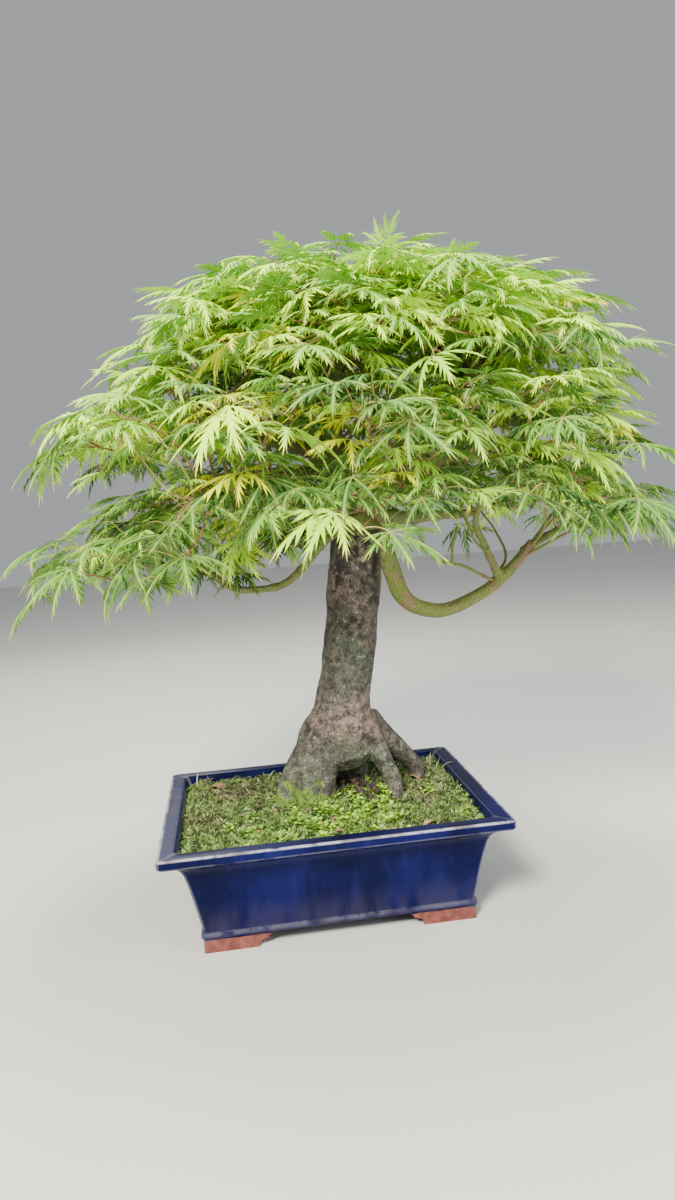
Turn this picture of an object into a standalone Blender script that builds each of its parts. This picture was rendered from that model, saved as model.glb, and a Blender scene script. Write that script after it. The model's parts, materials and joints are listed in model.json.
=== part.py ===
"""A laceleaf Japanese maple grown as a bonsai, standing in a glazed rectangular pot.

Everything is in metres, +Z up, with the long side of the pot along X. The pieces are worked out
round the pot's own centre, and one empty then moves them all, so that the origin lies under the
middle of the whole tree.
"""

import math
import random
from collections import namedtuple

import bpy
from mathutils import Matrix, Vector
from mathutils.bvhtree import BVHTree

# Driving sizes of the pot, a standard rectangle 36 cm long
POT_LENGTH = 0.360
POT_DEPTH = 0.279
POT_HEIGHT = 0.1166
POT_FLOOR_TOP = 0.0260
FOOT_HEIGHT = 0.0158
LIP_CORNER_RADIUS = 0.006
LEAST_CORNER_RADIUS = 0.003
CORNER_SHRINK = 0.06
CORNER_STEPS = 2
# How far each ring of the outer wall lies inside the lip's outline, and its height
OUTER_PROFILE = (
    (0.0350, FOOT_HEIGHT),
    (0.0350, 0.0206),
    (0.0375, 0.0222),
    (0.0300, 0.0620),
    (0.0235, 0.0890),
    (0.0165, 0.0995),
    (0.0040, 0.1062),
    (0.0000, 0.1080),
    (0.0000, 0.1150),
    (0.0016, POT_HEIGHT),
)
INNER_PROFILE = (
    (0.0178, POT_HEIGHT - 0.0004),
    (0.0200, 0.1130),
    (0.0450, POT_FLOOR_TOP),
)
FOOT_INSET = 0.0025
FOOT_WIDTH = 0.018
FOOT_LENGTH_X = 0.072
FOOT_LENGTH_Y = 0.058
FOOT_STEP_LENGTH = 0.012
FOOT_STEP_HEIGHT = 0.0075
FOOT_SUNK = 0.003
CUT_MARGIN = 0.006
DRAIN_RADIUS = 0.012
DRAIN_SPACING = 0.150
SCREEN_SIDE = 0.040
SCREEN_THICKNESS = 0.0012
SCREEN_HOLES = 2
SCREEN_HOLE_SIDE = 0.008
SCREEN_HOLE_PITCH = 0.0130

# Ground in the pot
GAP = 0.0003
WALL_GAP = 0.00045
SOIL_EDGE_HEIGHT = 0.1035
MOUND_RISE = 0.0090
MOUND_CENTRE = (0.030, 0.022)
MOUND_REACH = (0.085, 0.070)
MOSS_EDGE_THICKNESS = 0.0045
GROUND_RINGS = (1.0, 0.50)
SIDE_STEPS = 2
ROOT_HOLE_GAP = 0.0005
ROOT_HOLE_TOP = 0.135
ROOT_BOTTOM = 0.0880
ROOT_BEND_DROP = 0.004

# Where the pot's centre stands, so that the whole tree is centred on the origin
POT_CENTRE_X = -0.0519
POT_CENTRE_Y = -0.0004

# Trunk and roots as rows of (x, y, z, radius)
TRUNK_SIDES = 10
TRUNK = (
    (0.036, 0.032, 0.148, 0.034),
    (0.033, 0.028, 0.170, 0.046),
    (0.031, 0.022, 0.190, 0.042),
    (0.030, 0.020, 0.212, 0.033),
    (0.037, 0.020, 0.250, 0.031),
    (0.0455, 0.020, 0.300, 0.0305),
    (0.052, 0.020, 0.350, 0.031),
    (0.057, 0.020, 0.390, 0.030),
    (0.061, 0.021, 0.425, 0.026),
    (0.060, 0.023, 0.447, 0.019),
)
# Each root ends in a straight foot, so its last two rows share their x, y and radius
ROOTS = {
    "left_mass": (
        8,
        (0.013, 0.020, 0.208, 0.018),
        (0.002, 0.014, 0.182, 0.025),
        (-0.006, 0.005, 0.155, 0.026),
        (-0.012, 0.000, 0.137, 0.026),
        (-0.013, -0.002, 0.121, 0.026),
        (-0.013, -0.002, ROOT_BOTTOM, 0.026),
    ),
    "front_leg": (
        6,
        (0.052, 0.014, 0.188, 0.019),
        (0.067, -0.001, 0.157, 0.0120),
        (0.077, -0.012, 0.136, 0.0098),
        (0.080, -0.016, 0.121, 0.0092),
        (0.080, -0.016, ROOT_BOTTOM, 0.0092),
    ),
    "right_leg": (
        6,
        (0.056, 0.025, 0.188, 0.022),
        (0.086, 0.033, 0.160, 0.0138),
        (0.108, 0.041, 0.137, 0.0110),
        (0.118, 0.046, 0.121, 0.010),
        (0.118, 0.046, ROOT_BOTTOM, 0.010),
    ),
    "back_mass": (
        8,
        (0.035, 0.034, 0.188, 0.030),
        (0.036, 0.050, 0.156, 0.030),
        (0.035, 0.058, 0.138, 0.028),
        (0.035, 0.060, 0.121, 0.027),
        (0.035, 0.060, ROOT_BOTTOM, 0.027),
    ),
    "back_left_root": (
        6,
        (0.010, 0.040, 0.178, 0.018),
        (-0.012, 0.060, 0.148, 0.013),
        (-0.026, 0.072, 0.121, 0.011),
        (-0.026, 0.072, ROOT_BOTTOM, 0.011),
    ),
    "back_right_root": (
        6,
        (0.052, 0.044, 0.178, 0.018),
        (0.076, 0.078, 0.146, 0.013),
        (0.087, 0.092, 0.121, 0.010),
        (0.087, 0.092, ROOT_BOTTOM, 0.010),
    ),
    "side_root": (
        6,
        (-0.014, 0.010, 0.164, 0.018),
        (-0.032, 0.004, 0.140, 0.015),
        (-0.043, 0.000, 0.121, 0.012),
        (-0.043, 0.000, ROOT_BOTTOM, 0.012),
    ),
}
# Main branches as rows of (x, y, z), with the radius at each end
BRANCHES = {
    "leader": (
        (0.020, 0.005),
        (0.059, 0.022, 0.425),
        (0.047, 0.030, 0.490),
        (0.036, 0.030, 0.550),
        (0.050, 0.020, 0.605),
        (0.085, 0.008, 0.650),
        (0.104, 0.000, 0.690),
    ),
    "right_leader": (
        (0.018, 0.0045),
        (0.060, 0.016, 0.412),
        (0.100, 0.002, 0.470),
        (0.150, -0.004, 0.530),
        (0.200, 0.008, 0.580),
        (0.250, 0.018, 0.608),
    ),
    "right_limb": (
        (0.0130, 0.0056),
        (0.062, 0.006, 0.428),
        (0.079, -0.012, 0.405),
        (0.090, -0.016, 0.372),
        (0.102, -0.016, 0.338),
        (0.127, -0.015, 0.322),
        (0.158, -0.014, 0.321),
        (0.204, -0.010, 0.340),
        (0.236, -0.010, 0.366),
        (0.257, -0.010, 0.389),
    ),
    "right_limb_end": (
        (0.0050, 0.0028),
        (0.246, -0.008, 0.378),
        (0.293, 0.000, 0.400),
        (0.345, 0.004, 0.410),
    ),
    "right_limb_shoot": (
        (0.0048, 0.0026),
        (0.216, -0.010, 0.350),
        (0.198, -0.022, 0.384),
        (0.182, -0.040, 0.418),
        (0.190, -0.060, 0.450),
    ),
    "second_limb": (
        (0.0105, 0.0045),
        (0.064, 0.026, 0.430),
        (0.096, 0.042, 0.428),
        (0.134, 0.064, 0.424),
        (0.182, 0.094, 0.424),
        (0.230, 0.118, 0.424),
    ),
    "left_limb": (
        (0.0050, 0.0026),
        (0.050, 0.008, 0.420),
        (0.020, -0.008, 0.406),
        (0.000, -0.010, 0.386),
        (-0.024, -0.010, 0.364),
        (-0.055, -0.008, 0.358),
        (-0.088, -0.004, 0.363),
        (-0.122, 0.000, 0.390),
        (-0.165, 0.006, 0.392),
        (-0.215, 0.012, 0.396),
    ),
    "left_upper": (
        (0.0100, 0.0034),
        (0.046, 0.030, 0.492),
        (-0.020, 0.038, 0.520),
        (-0.095, 0.040, 0.532),
        (-0.165, 0.036, 0.522),
        (-0.222, 0.030, 0.500),
    ),
    "left_front": (
        (0.0090, 0.0032),
        (0.056, 0.008, 0.420),
        (0.006, -0.055, 0.446),
        (-0.056, -0.105, 0.462),
        (-0.118, -0.136, 0.456),
    ),
    "front": (
        (0.0090, 0.0032),
        (0.062, 0.014, 0.440),
        (0.068, -0.060, 0.474),
        (0.074, -0.118, 0.482),
        (0.080, -0.165, 0.472),
    ),
    "right_front": (
        (0.0090, 0.0032),
        (0.098, 0.002, 0.468),
        (0.146, -0.056, 0.486),
        (0.200, -0.104, 0.488),
        (0.246, -0.134, 0.474),
    ),
    "right_middle": (
        (0.0095, 0.0032),
        (0.138, -0.002, 0.514),
        (0.205, -0.014, 0.524),
        (0.270, -0.012, 0.520),
        (0.335, -0.002, 0.500),
    ),
    "back_left": (
        (0.0095, 0.0032),
        (0.048, 0.034, 0.476),
        (-0.012, 0.092, 0.488),
        (-0.072, 0.132, 0.486),
        (-0.122, 0.152, 0.470),
    ),
    "back": (
        (0.0090, 0.0032),
        (0.058, 0.028, 0.436),
        (0.064, 0.100, 0.472),
        (0.072, 0.160, 0.480),
        (0.080, 0.190, 0.470),
    ),
    "back_right": (
        (0.0090, 0.0032),
        (0.098, 0.004, 0.468),
        (0.150, 0.070, 0.486),
        (0.206, 0.116, 0.488),
        (0.252, 0.144, 0.474),
    ),
    "upper_left": (
        (0.0075, 0.0030),
        (0.038, 0.028, 0.566),
        (-0.014, 0.018, 0.602),
        (-0.070, 0.006, 0.616),
    ),
    "upper_front": (
        (0.0070, 0.0030),
        (0.048, 0.018, 0.596),
        (0.066, -0.040, 0.620),
        (0.084, -0.086, 0.622),
    ),
    "upper_back": (
        (0.0070, 0.0030),
        (0.046, 0.022, 0.588),
        (0.058, 0.078, 0.614),
        (0.072, 0.116, 0.616),
    ),
    "upper_right": (
        (0.0070, 0.0030),
        (0.172, 0.000, 0.552),
        (0.196, -0.044, 0.592),
        (0.212, -0.076, 0.606),
    ),
    "upper_right_back": (
        (0.0070, 0.0030),
        (0.186, 0.004, 0.564),
        (0.204, 0.050, 0.596),
        (0.220, 0.084, 0.604),
    ),
}
BRANCH_SIDES = 5
TWIG_SIDES = 4
# Every tube's first ring starts from the part of this direction that is square to the tube
TUBE_GUIDE = (0.31, 0.87, 0.39)
THICK_BRANCH = 0.0120
BRANCH_STEP = 0.045
BRANCH_TAPER_POWER = 0.8

# Rings of shoot tips as (height, centre x, half width, half depth, count, sideways sag, tilt, droop)
TIERS = (
    (0.430, 0.056, 0.306, 0.214, 12, 0.022, 0.011, 27.0),
    (0.504, 0.056, 0.290, 0.216, 12, 0.000, -0.010, 23.0),
    (0.576, 0.082, 0.238, 0.184, 10, 0.000, 0.000, 20.0),
    (0.628, 0.090, 0.204, 0.142, 9, 0.000, -0.006, 13.0),
    (0.659, 0.090, 0.138, 0.086, 6, 0.000, -0.010, 8.0),
)
TIER_PHASE = 0.733
TOP_SHOOT_TIP = (0.110, -0.004, 0.722)
TOP_SHOOT_DROOP = -74.0
TOP_SHOOT_LEAF_SCALE = 0.44
TOP_SHOOT_LEAVES = 3
# Shoots inside the rings of tips, as (tip x, y, z, droop, leaf count)
INNER_SHOOTS = (
    (0.032, -0.006, 0.668, 12.0, 3),
    (0.136, -0.034, 0.640, 14.0, 2),
    (-0.022, -0.036, 0.564, 20.0, 2),
)
INNER_AXIS_X = 0.074
CROWN_AXIS_Y = 0.010
CROWN_FLATNESS = 0.8
SITE_JITTER = 0.012
JITTER_GROWTH = 12
SEAT_INWARD = (0.02, 0.06)
SEAT_DROP = 0.1
SEED = 45
SITE_TRIES = 60
LEAF_TRIES = 90

# Young shoots and leaves
SHOOT_RADIUS = (0.0022, 0.0019)
SHOOT_SIDES = 3
SHOOT_STEPS = 3
SHOOT_END_CLIMB = -0.15
SHOOT_HANDLES = (0.35, 0.30)
SHOOT_FOOT = 0.004
LEAVES_ON_SHOOT = (3, 2, 2)
LEAF_LENGTH = (0.060, 0.076)
PETIOLE_LENGTH = (0.024, 0.040)
PETIOLE_RADIUS = 0.0008
LEAF_NODE_PITCH = 0.0042
BACK_LEAF_PLACES = (0.2, 0.6)
# Angles of a leaf in degrees: the fan on a shoot, then how far each draw may stray
LEAF_FAN = (34, 40, 78, 84)
TURN_SPREAD = 16
FALL_SPREAD = (-14, 18)
FACE_SPREAD = 14
ROLL_SPREAD = 16
CLIMB_SPREAD = 70
CLIMB_LIMITS = (-22, 78)
LEAST_TOP_CLIMB = -12
MOST_PETIOLE_BEND = 56.0
HUB_HALF_THICKNESS = 0.0011
HUB_HALF_WIDTH = 0.0011
RIB_HALF_THICKNESS = 0.00055
LEAF_BEND = 0.90
SINUS_RADIUS = 0.15
RIB_POINT = 0.35
# Lobes from the right side of the leaf to the left: angle, length, and the kind of cut edge
LOBES = (
    (-118.0, 0.44, "basal_right"),
    (-74.0, 0.80, "lower_right"),
    (-36.0, 0.95, "full"),
    (0.0, 1.00, "full"),
    (36.0, 0.95, "full"),
    (74.0, 0.80, "lower_left"),
    (118.0, 0.44, "basal_left"),
)
# Edge points of a lobe as shares of its length: along it, and across it to the left
RIGHT_TOOTH = ((0.50, -0.165), (0.44, -0.062))
LEFT_TOOTH = ((0.56, 0.062), (0.67, 0.165))
BASAL_TOOTH = (0.46, 0.170)

# Colours as linear red, green, blue, then roughness
GLAZE = (0.012, 0.016, 0.045, 0.12)
MESH_PLASTIC = (0.03, 0.03, 0.03, 0.55)
POTTING_SOIL = (0.055, 0.032, 0.018, 0.95)
MOSS_GREEN = (0.16, 0.26, 0.045, 0.95)
BARK = (0.16, 0.115, 0.085, 0.85)
LEAF_GREEN = (0.26, 0.38, 0.07, 0.50)


Site = namedtuple("Site", "tip axis_x droop leaf_count leaf_scale")
Leaf = namedtuple("Leaf", "root hub axis side normal length")
Spray = namedtuple("Spray", "path radii leaves")


def material(name, colour):
    """A plain material from linear red, green, blue and roughness."""
    made = bpy.data.materials.new(name)
    made.use_nodes = True
    shader = made.node_tree.nodes["Principled BSDF"]
    shader.inputs["Base Color"].default_value = (*colour[:3], 1.0)
    shader.inputs["Roughness"].default_value = colour[3]
    shader.inputs["Metallic"].default_value = 0.0
    return made


def clear_scene():
    """Removes whatever the scene holds."""
    for item in list(bpy.data.objects):
        bpy.data.objects.remove(item, do_unlink=True)


def add_object(name, shape, look):
    """An object from (points, faces), with one material."""
    mesh = bpy.data.meshes.new(name)
    mesh.from_pydata([tuple(point) for point in shape[0]], [], shape[1])
    mesh.validate()
    mesh.materials.append(look)
    made = bpy.data.objects.new(name, mesh)
    bpy.context.scene.collection.objects.link(made)
    return made


def combine(base, others, operation, solver="EXACT"):
    """Joins to or cuts from the base every other object, which are then removed."""
    group = bpy.data.collections.new(base.name + "_pieces")
    for other in others:
        group.objects.link(other)
    modifier = base.modifiers.new("combine", "BOOLEAN")
    modifier.operation = operation
    modifier.operand_type = "COLLECTION"
    modifier.collection = group
    modifier.solver = solver
    bpy.context.view_layer.update()
    graph = bpy.context.evaluated_depsgraph_get()
    mesh = bpy.data.meshes.new_from_object(base.evaluated_get(graph))
    base.modifiers.clear()
    base.data = mesh
    for other in others:
        bpy.data.objects.remove(other, do_unlink=True)
    bpy.data.collections.remove(group)


def shade(piece, degrees):
    """Smooth shading, with edges sharper than an angle kept crisp."""
    piece.data.shade_smooth()
    piece.data.set_sharp_from_angle(angle=math.radians(degrees))


def loft(rings):
    """A closed shape through rings of equal count, with a flat cap on its first and last ring."""
    count = len(rings[0])
    points = [point for ring in rings for point in ring]
    faces = [tuple(reversed(range(count)))]
    for level in range(len(rings) - 1):
        low = level * count
        high = low + count
        for step in range(count):
            after = (step + 1) % count
            faces.append((low + step, low + after, high + after, high + step))
    last = (len(rings) - 1) * count
    faces.append(tuple(range(last, last + count)))
    return points, faces


def box_shape(low, high):
    """A closed box between two corners."""
    x0, y0, z0 = low
    x1, y1, z1 = high
    ring = ((x0, y0), (x1, y0), (x1, y1), (x0, y1))
    return loft([[Vector((x, y, z)) for x, y in ring] for z in (z0, z1)])


def rectangle_ring(half_x, half_y, radius, height, side_steps=1):
    """Points of a level rectangle with round corners, turning left seen from above."""
    ring = []
    for turn, (side_x, side_y) in enumerate(((1, 1), (-1, 1), (-1, -1), (1, -1))):
        centre = Vector((side_x * (half_x - radius), side_y * (half_y - radius), height))
        for step in range(CORNER_STEPS + 1):
            angle = math.radians(90 * (turn + step / CORNER_STEPS))
            ring.append(centre + radius * Vector((math.cos(angle), math.sin(angle), 0)))
    if side_steps == 1:
        return ring
    full = []
    for place, point in enumerate(ring):
        full.append(point)
        if place % (CORNER_STEPS + 1) == CORNER_STEPS:
            after = ring[(place + 1) % len(ring)]
            full.extend(point.lerp(after, step / side_steps) for step in range(1, side_steps))
    return full


def pot_ring(inset, height, side_steps=1):
    """The pot's outline, drawn in by the inset."""
    half_x = POT_LENGTH / 2 - inset
    half_y = POT_DEPTH / 2 - inset
    radius = max(LIP_CORNER_RADIUS - CORNER_SHRINK * inset, LEAST_CORNER_RADIUS)
    return rectangle_ring(half_x, half_y, radius, height, side_steps)


def foot_outline(arm_x, arm_y):
    """An L seen from above, its outer corner at zero and its arms along +X and +Y."""
    width = FOOT_WIDTH
    return ((0, 0), (arm_x, 0), (arm_x, width), (width, width), (width, arm_y), (0, arm_y))


def foot_shape(side_x, side_y, arm_cut, low, high):
    """One layer of a corner foot, as a prism between two heights."""
    inset = OUTER_PROFILE[0][0] + FOOT_INSET
    corner_x = side_x * (POT_LENGTH / 2 - inset)
    corner_y = side_y * (POT_DEPTH / 2 - inset)
    outline = foot_outline(FOOT_LENGTH_X - arm_cut, FOOT_LENGTH_Y - arm_cut)
    ring = [(corner_x - side_x * x, corner_y - side_y * y) for x, y in outline]
    if side_x * side_y < 0:
        ring.reverse()
    return loft([[Vector((x, y, z)) for x, y in ring] for z in (low, high)])


def drain_holes(low, high):
    """Upright cutters for the two drainage holes."""
    shapes = []
    for side in (-1, 1):
        centre = Vector((side * DRAIN_SPACING / 2, 0, 0))
        rings = []
        for z in (low, high):
            ring = []
            for step in range(8):
                angle = math.radians(45 * step + 22.5)
                across = Vector((math.cos(angle), math.sin(angle), 0))
                ring.append(centre + across * DRAIN_RADIUS + Vector((0, 0, z)))
            rings.append(ring)
        shapes.append(loft(rings))
    return shapes


def make_pot(look):
    """The glazed pot with its four bracket feet and two drainage holes."""
    rings = [pot_ring(inset, height) for inset, height in OUTER_PROFILE + INNER_PROFILE]
    pot = add_object("pot", loft(rings), look)
    feet = []
    for side_x in (-1, 1):
        for side_y in (-1, 1):
            top = FOOT_HEIGHT + FOOT_SUNK
            layers = ((FOOT_STEP_LENGTH, 0.0, top), (0.0, FOOT_STEP_HEIGHT, top - FOOT_SUNK / 3))
            for arm_cut, low, high in layers:
                feet.append(add_object("foot", foot_shape(side_x, side_y, arm_cut, low, high), look))
    combine(pot, feet, "UNION")
    shapes = drain_holes(FOOT_HEIGHT - CUT_MARGIN, POT_FLOOR_TOP + CUT_MARGIN)
    cutters = [add_object("drain", shape, look) for shape in shapes]
    combine(pot, cutters, "DIFFERENCE")
    shade(pot, 40)
    return pot


def make_screen(name, side, look):
    """A square of plastic mesh lying on the pot's floor over one drainage hole."""
    x = side * DRAIN_SPACING / 2
    low = POT_FLOOR_TOP + GAP
    high = low + SCREEN_THICKNESS
    half = SCREEN_SIDE / 2
    plate = add_object(name, box_shape((x - half, -half, low), (x + half, half, high)), look)
    holes = []
    for column in range(SCREEN_HOLES):
        for row in range(SCREEN_HOLES):
            hole_x = x + (column - (SCREEN_HOLES - 1) / 2) * SCREEN_HOLE_PITCH
            hole_y = (row - (SCREEN_HOLES - 1) / 2) * SCREEN_HOLE_PITCH
            reach = SCREEN_HOLE_SIDE / 2
            shape = box_shape(
                (hole_x - reach, hole_y - reach, low - CUT_MARGIN),
                (hole_x + reach, hole_y + reach, high + CUT_MARGIN),
            )
            holes.append(add_object("hole", shape, look))
    combine(plate, holes, "DIFFERENCE")
    return plate


def mound(x, y):
    """Height of the soil above its height at the wall."""
    across = (x - MOUND_CENTRE[0]) / MOUND_REACH[0]
    along = (y - MOUND_CENTRE[1]) / MOUND_REACH[1]
    return MOUND_RISE * math.exp(-across * across - along * along)


def inner_inset(height):
    """How far the pot's inner wall lies inside the lip's outline at a height."""
    (top_inset, top), (floor_inset, floor) = INNER_PROFILE[1:]
    return top_inset + (floor_inset - top_inset) * (top - height) / (top - floor)


def ground_rings(height, extra):
    """Rings over the pot's inside, from the wall inwards, on the mound plus an extra height."""
    rings = []
    for share in GROUND_RINGS:
        inset = inner_inset(height) + WALL_GAP
        ring = pot_ring(inset, 0, SIDE_STEPS)
        placed = []
        for point in ring:
            x, y = point.x * share, point.y * share
            placed.append(Vector((x, y, height + mound(x, y) + extra)))
        rings.append(placed)
    return rings


def add_sheet(points, faces, rings, peak, upward):
    """Adds a surface over rings from the wall inwards to a peak, always split along the same lines."""
    start = len(points)
    count = len(rings[0])
    points.extend(point for ring in rings for point in ring)
    points.append(peak)
    middle = len(points) - 1
    found = []
    for level in range(len(rings)):
        outer = start + level * count
        inner = outer + count
        for step in range(count):
            after = (step + 1) % count
            if level == len(rings) - 1:
                found.append((outer + step, outer + after, middle))
            else:
                found.append((outer + step, outer + after, inner + after))
                found.append((outer + step, inner + after, inner + step))
    faces.extend(found if upward else [tuple(reversed(face)) for face in found])
    return list(range(start, start + count))


def add_wall(faces, lower, upper):
    """Joins two rings of point numbers, the lower one first."""
    for step in range(len(lower)):
        after = (step + 1) % len(lower)
        faces.append((lower[step], lower[after], upper[after]))
        faces.append((lower[step], upper[after], upper[step]))


def make_soil(look, hole_shapes):
    """Potting mix that fills the pot up to the moss, with holes for roots and screens."""
    bottom = POT_FLOOR_TOP + GAP
    points = pot_ring(inner_inset(bottom) + WALL_GAP, bottom, SIDE_STEPS)
    low_ring = list(range(len(points)))
    faces = [tuple(reversed(low_ring))]
    peak = Vector((0, 0, SOIL_EDGE_HEIGHT + mound(0, 0)))
    top_ring = add_sheet(points, faces, ground_rings(SOIL_EDGE_HEIGHT, 0.0), peak, True)
    add_wall(faces, low_ring, top_ring)
    soil = add_object("soil", (points, faces), look)
    cutters = [add_object("hole", shape, look) for shape in hole_shapes]
    half = SCREEN_SIDE / 2 + GAP
    for side in (-1, 1):
        x = side * DRAIN_SPACING / 2
        low = bottom - CUT_MARGIN
        high = bottom + SCREEN_THICKNESS + GAP
        recess = box_shape((x - half, -half, low), (x + half, half, high))
        cutters.append(add_object("recess", recess, look))
    combine(soil, cutters, "DIFFERENCE")
    return soil


def make_moss(look, hole_shapes):
    """A thin mat over the soil, open where the roots go through."""
    points = []
    faces = []
    rims = []
    for extra, upward in ((GAP, False), (MOSS_EDGE_THICKNESS, True)):
        peak = Vector((0, 0, SOIL_EDGE_HEIGHT + mound(0, 0) + extra))
        rims.append(add_sheet(points, faces, ground_rings(SOIL_EDGE_HEIGHT, extra), peak, upward))
    add_wall(faces, *rims)
    moss = add_object("moss", (points, faces), look)
    cutters = [add_object("hole", shape, look) for shape in hole_shapes]
    combine(moss, cutters, "DIFFERENCE")
    return moss


def smooth_path(rows, step):
    """Points and shares along a smooth curve through the rows, about one step apart."""
    ends = [rows[0] * 2 - rows[1]] + list(rows) + [rows[-1] * 2 - rows[-2]]
    path = [rows[0]]
    for place in range(1, len(ends) - 2):
        before, start, end, after = ends[place - 1 : place + 3]
        pieces = max(1, round((end - start).length / step))
        for piece in range(1, pieces + 1):
            t = piece / pieces
            point = 2 * start + (end - before) * t
            point += (2 * before - 5 * start + 4 * end - after) * t**2
            point += (3 * start - before - 3 * end + after) * t**3
            path.append(point / 2)
    return path


def tube(path, radii, sides):
    """A closed tube along a path, its rings kept from twisting."""
    rings = []
    normal = Vector(TUBE_GUIDE)
    for place, point in enumerate(path):
        before = path[max(place - 1, 0)]
        after = path[min(place + 1, len(path) - 1)]
        along = (after - before).normalized()
        normal = (normal - along * normal.dot(along)).normalized()
        side = along.cross(normal)
        ring = []
        for step in range(sides):
            angle = 2 * math.pi * step / sides
            ring.append(point + radii[place] * (math.cos(angle) * normal + math.sin(angle) * side))
        rings.append(ring)
    return loft(rings)


def branch_parts(name):
    """Path, radii and sides of a named branch."""
    (first, last), *rows = BRANCHES[name]
    path = smooth_path([Vector(row) for row in rows], BRANCH_STEP)
    spans = len(path) - 1
    radii = [first + (last - first) * (step / spans) ** BRANCH_TAPER_POWER for step in range(spans + 1)]
    return path, radii, BRANCH_SIDES if first > THICK_BRANCH else TWIG_SIDES


def root_parts(name):
    """Path, radii and sides of a named root, with a plumb foot."""
    sides, *rows = ROOTS[name]
    path = [Vector(row[:3]) for row in rows]
    radii = [row[3] for row in rows]
    path.insert(-1, path[-2] - Vector((0, 0, ROOT_BEND_DROP)))
    radii.insert(-1, radii[-1])
    return path, radii, sides


def foot_hole(name):
    """The plain upright hole that a root's foot stands in."""
    path, radii, sides = root_parts(name)
    points = tube(path, radii, sides)[0]
    centre = path[-1]
    scale = (radii[-1] + ROOT_HOLE_GAP) / radii[-1]
    ring = [centre + (point - centre) * scale for point in reversed(points[-sides:])]
    return loft([[Vector((p.x, p.y, z)) for p in ring] for z in (ROOT_BOTTOM - GAP, ROOT_HOLE_TOP)])


def make_wood(look):
    """Roots, trunk and branches as the one grown piece that they are."""
    path = [Vector(row[:3]) for row in TRUNK]
    radii = [row[3] for row in TRUNK]
    wood = add_object("trunk_and_branches", tube(path, radii, TRUNK_SIDES), look)
    pieces = [add_object(name, tube(*root_parts(name)), look) for name in ROOTS]
    pieces += [add_object(name, tube(*branch_parts(name)), look) for name in BRANCHES]
    combine(wood, pieces, "UNION")
    shade(wood, 50)
    return wood


def bend(point):
    """Lays a flat leaf point on an arc that droops away from the hub."""
    reach = math.hypot(point[0], point[1])
    if reach == 0:
        return Vector((0, 0, 0))
    scale = math.sin(LEAF_BEND * reach) / (LEAF_BEND * reach)
    return Vector((point[0] * scale, point[1] * scale, (math.cos(LEAF_BEND * reach) - 1) / LEAF_BEND))


def lobe_edge(kind):
    """Points of a lobe's edge from its right side to its left, and whether it has a rib point."""
    tip = (1.0, 0.0)
    if kind == "basal_right":
        return ((BASAL_TOOTH[0], -BASAL_TOOTH[1]), tip), False
    if kind == "basal_left":
        return (tip, BASAL_TOOTH), False
    if kind == "lower_right":
        return (*RIGHT_TOOTH, tip), True
    if kind == "lower_left":
        return (tip, *LEFT_TOOTH), True
    return (*RIGHT_TOOTH, tip, *LEFT_TOOTH), True


def leaf_outline():
    """Edge points of a leaf of length 1, right to left round its tip, and each lobe's share of them.

    A lobe's share is the numbers of its first and last edge points, and its rib point or None.
    """
    edge = []
    lobes = []
    for place, (angle, length, kind) in enumerate(LOBES):
        cos, sin = math.cos(math.radians(angle)), math.sin(math.radians(angle))
        outline, has_rib = lobe_edge(kind)
        start = len(edge)
        for along, across in outline:
            x, y = along * length, across * length
            edge.append((x * cos - y * sin, x * sin + y * cos))
        rib = (RIB_POINT * length * cos, RIB_POINT * length * sin) if has_rib else None
        lobes.append((start, len(edge), rib))
        if place < len(LOBES) - 1:
            middle = math.radians((angle + LOBES[place + 1][0]) / 2)
            edge.append((SINUS_RADIUS * math.cos(middle), SINUS_RADIUS * math.sin(middle)))
    return edge, lobes


def leaf_shape(leaf):
    """A closed leaf with cut lobes and its petiole, which ends sunk in the shoot at the root."""
    edge, lobes = leaf_outline()
    hub, normal, length = leaf.hub, leaf.normal, leaf.length
    turn = Matrix((leaf.axis, leaf.side, normal)).transposed()
    points = [
        hub + turn @ Vector((0, -HUB_HALF_WIDTH, 0)),
        hub + normal * HUB_HALF_THICKNESS,
        hub + turn @ Vector((0, HUB_HALF_WIDTH, 0)),
        hub - normal * HUB_HALF_THICKNESS,
    ]
    right, top, left, under = range(4)
    first = len(points)
    for x, y in edge:
        points.append(hub + turn @ (bend((x, y)) * length))
    loop = [right] + list(range(first, len(points))) + [left]
    faces = []
    for start, end, rib in lobes:
        stretch = loop[start : end + 2]
        upper, lower = top, under
        if rib is not None:
            place = hub + turn @ (bend(rib) * length)
            points += [place + normal * RIB_HALF_THICKNESS, place - normal * RIB_HALF_THICKNESS]
            upper, lower = len(points) - 2, len(points) - 1
            faces += [(top, stretch[0], upper), (top, upper, stretch[-1])]
            faces += [(under, lower, stretch[0]), (under, stretch[-1], lower)]
        for a, b in zip(stretch, stretch[1:]):
            faces += [(upper, a, b), (lower, b, a)]
    add_petiole(points, faces, (right, under, left, top), leaf.side, leaf.root)
    return points, faces


def add_petiole(points, faces, ring, side, root):
    """Runs the open ring at the leaf's hub back to the root as a closed stalk."""
    hub = (points[ring[0]] + points[ring[2]]) / 2
    along = (root - hub).normalized()
    across = (side - along * side.dot(along)).normalized()
    up = along.cross(across)
    if up.dot(points[ring[3]] - points[ring[1]]) < 0:
        up = -up
    start = len(points)
    for offset in (-across, -up, across, up):
        points.append(root + offset * PETIOLE_RADIUS)
    for step in range(4):
        after = (step + 1) % 4
        faces.append((ring[step], start + step, start + after, ring[after]))
    faces.append((start + 3, start + 2, start + 1, start))


def heading_out(place, axis_x):
    """Level heading from the tree's middle out to a place."""
    return math.atan2(place.y - CROWN_AXIS_Y, (place.x - axis_x) * CROWN_FLATNESS)


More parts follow.
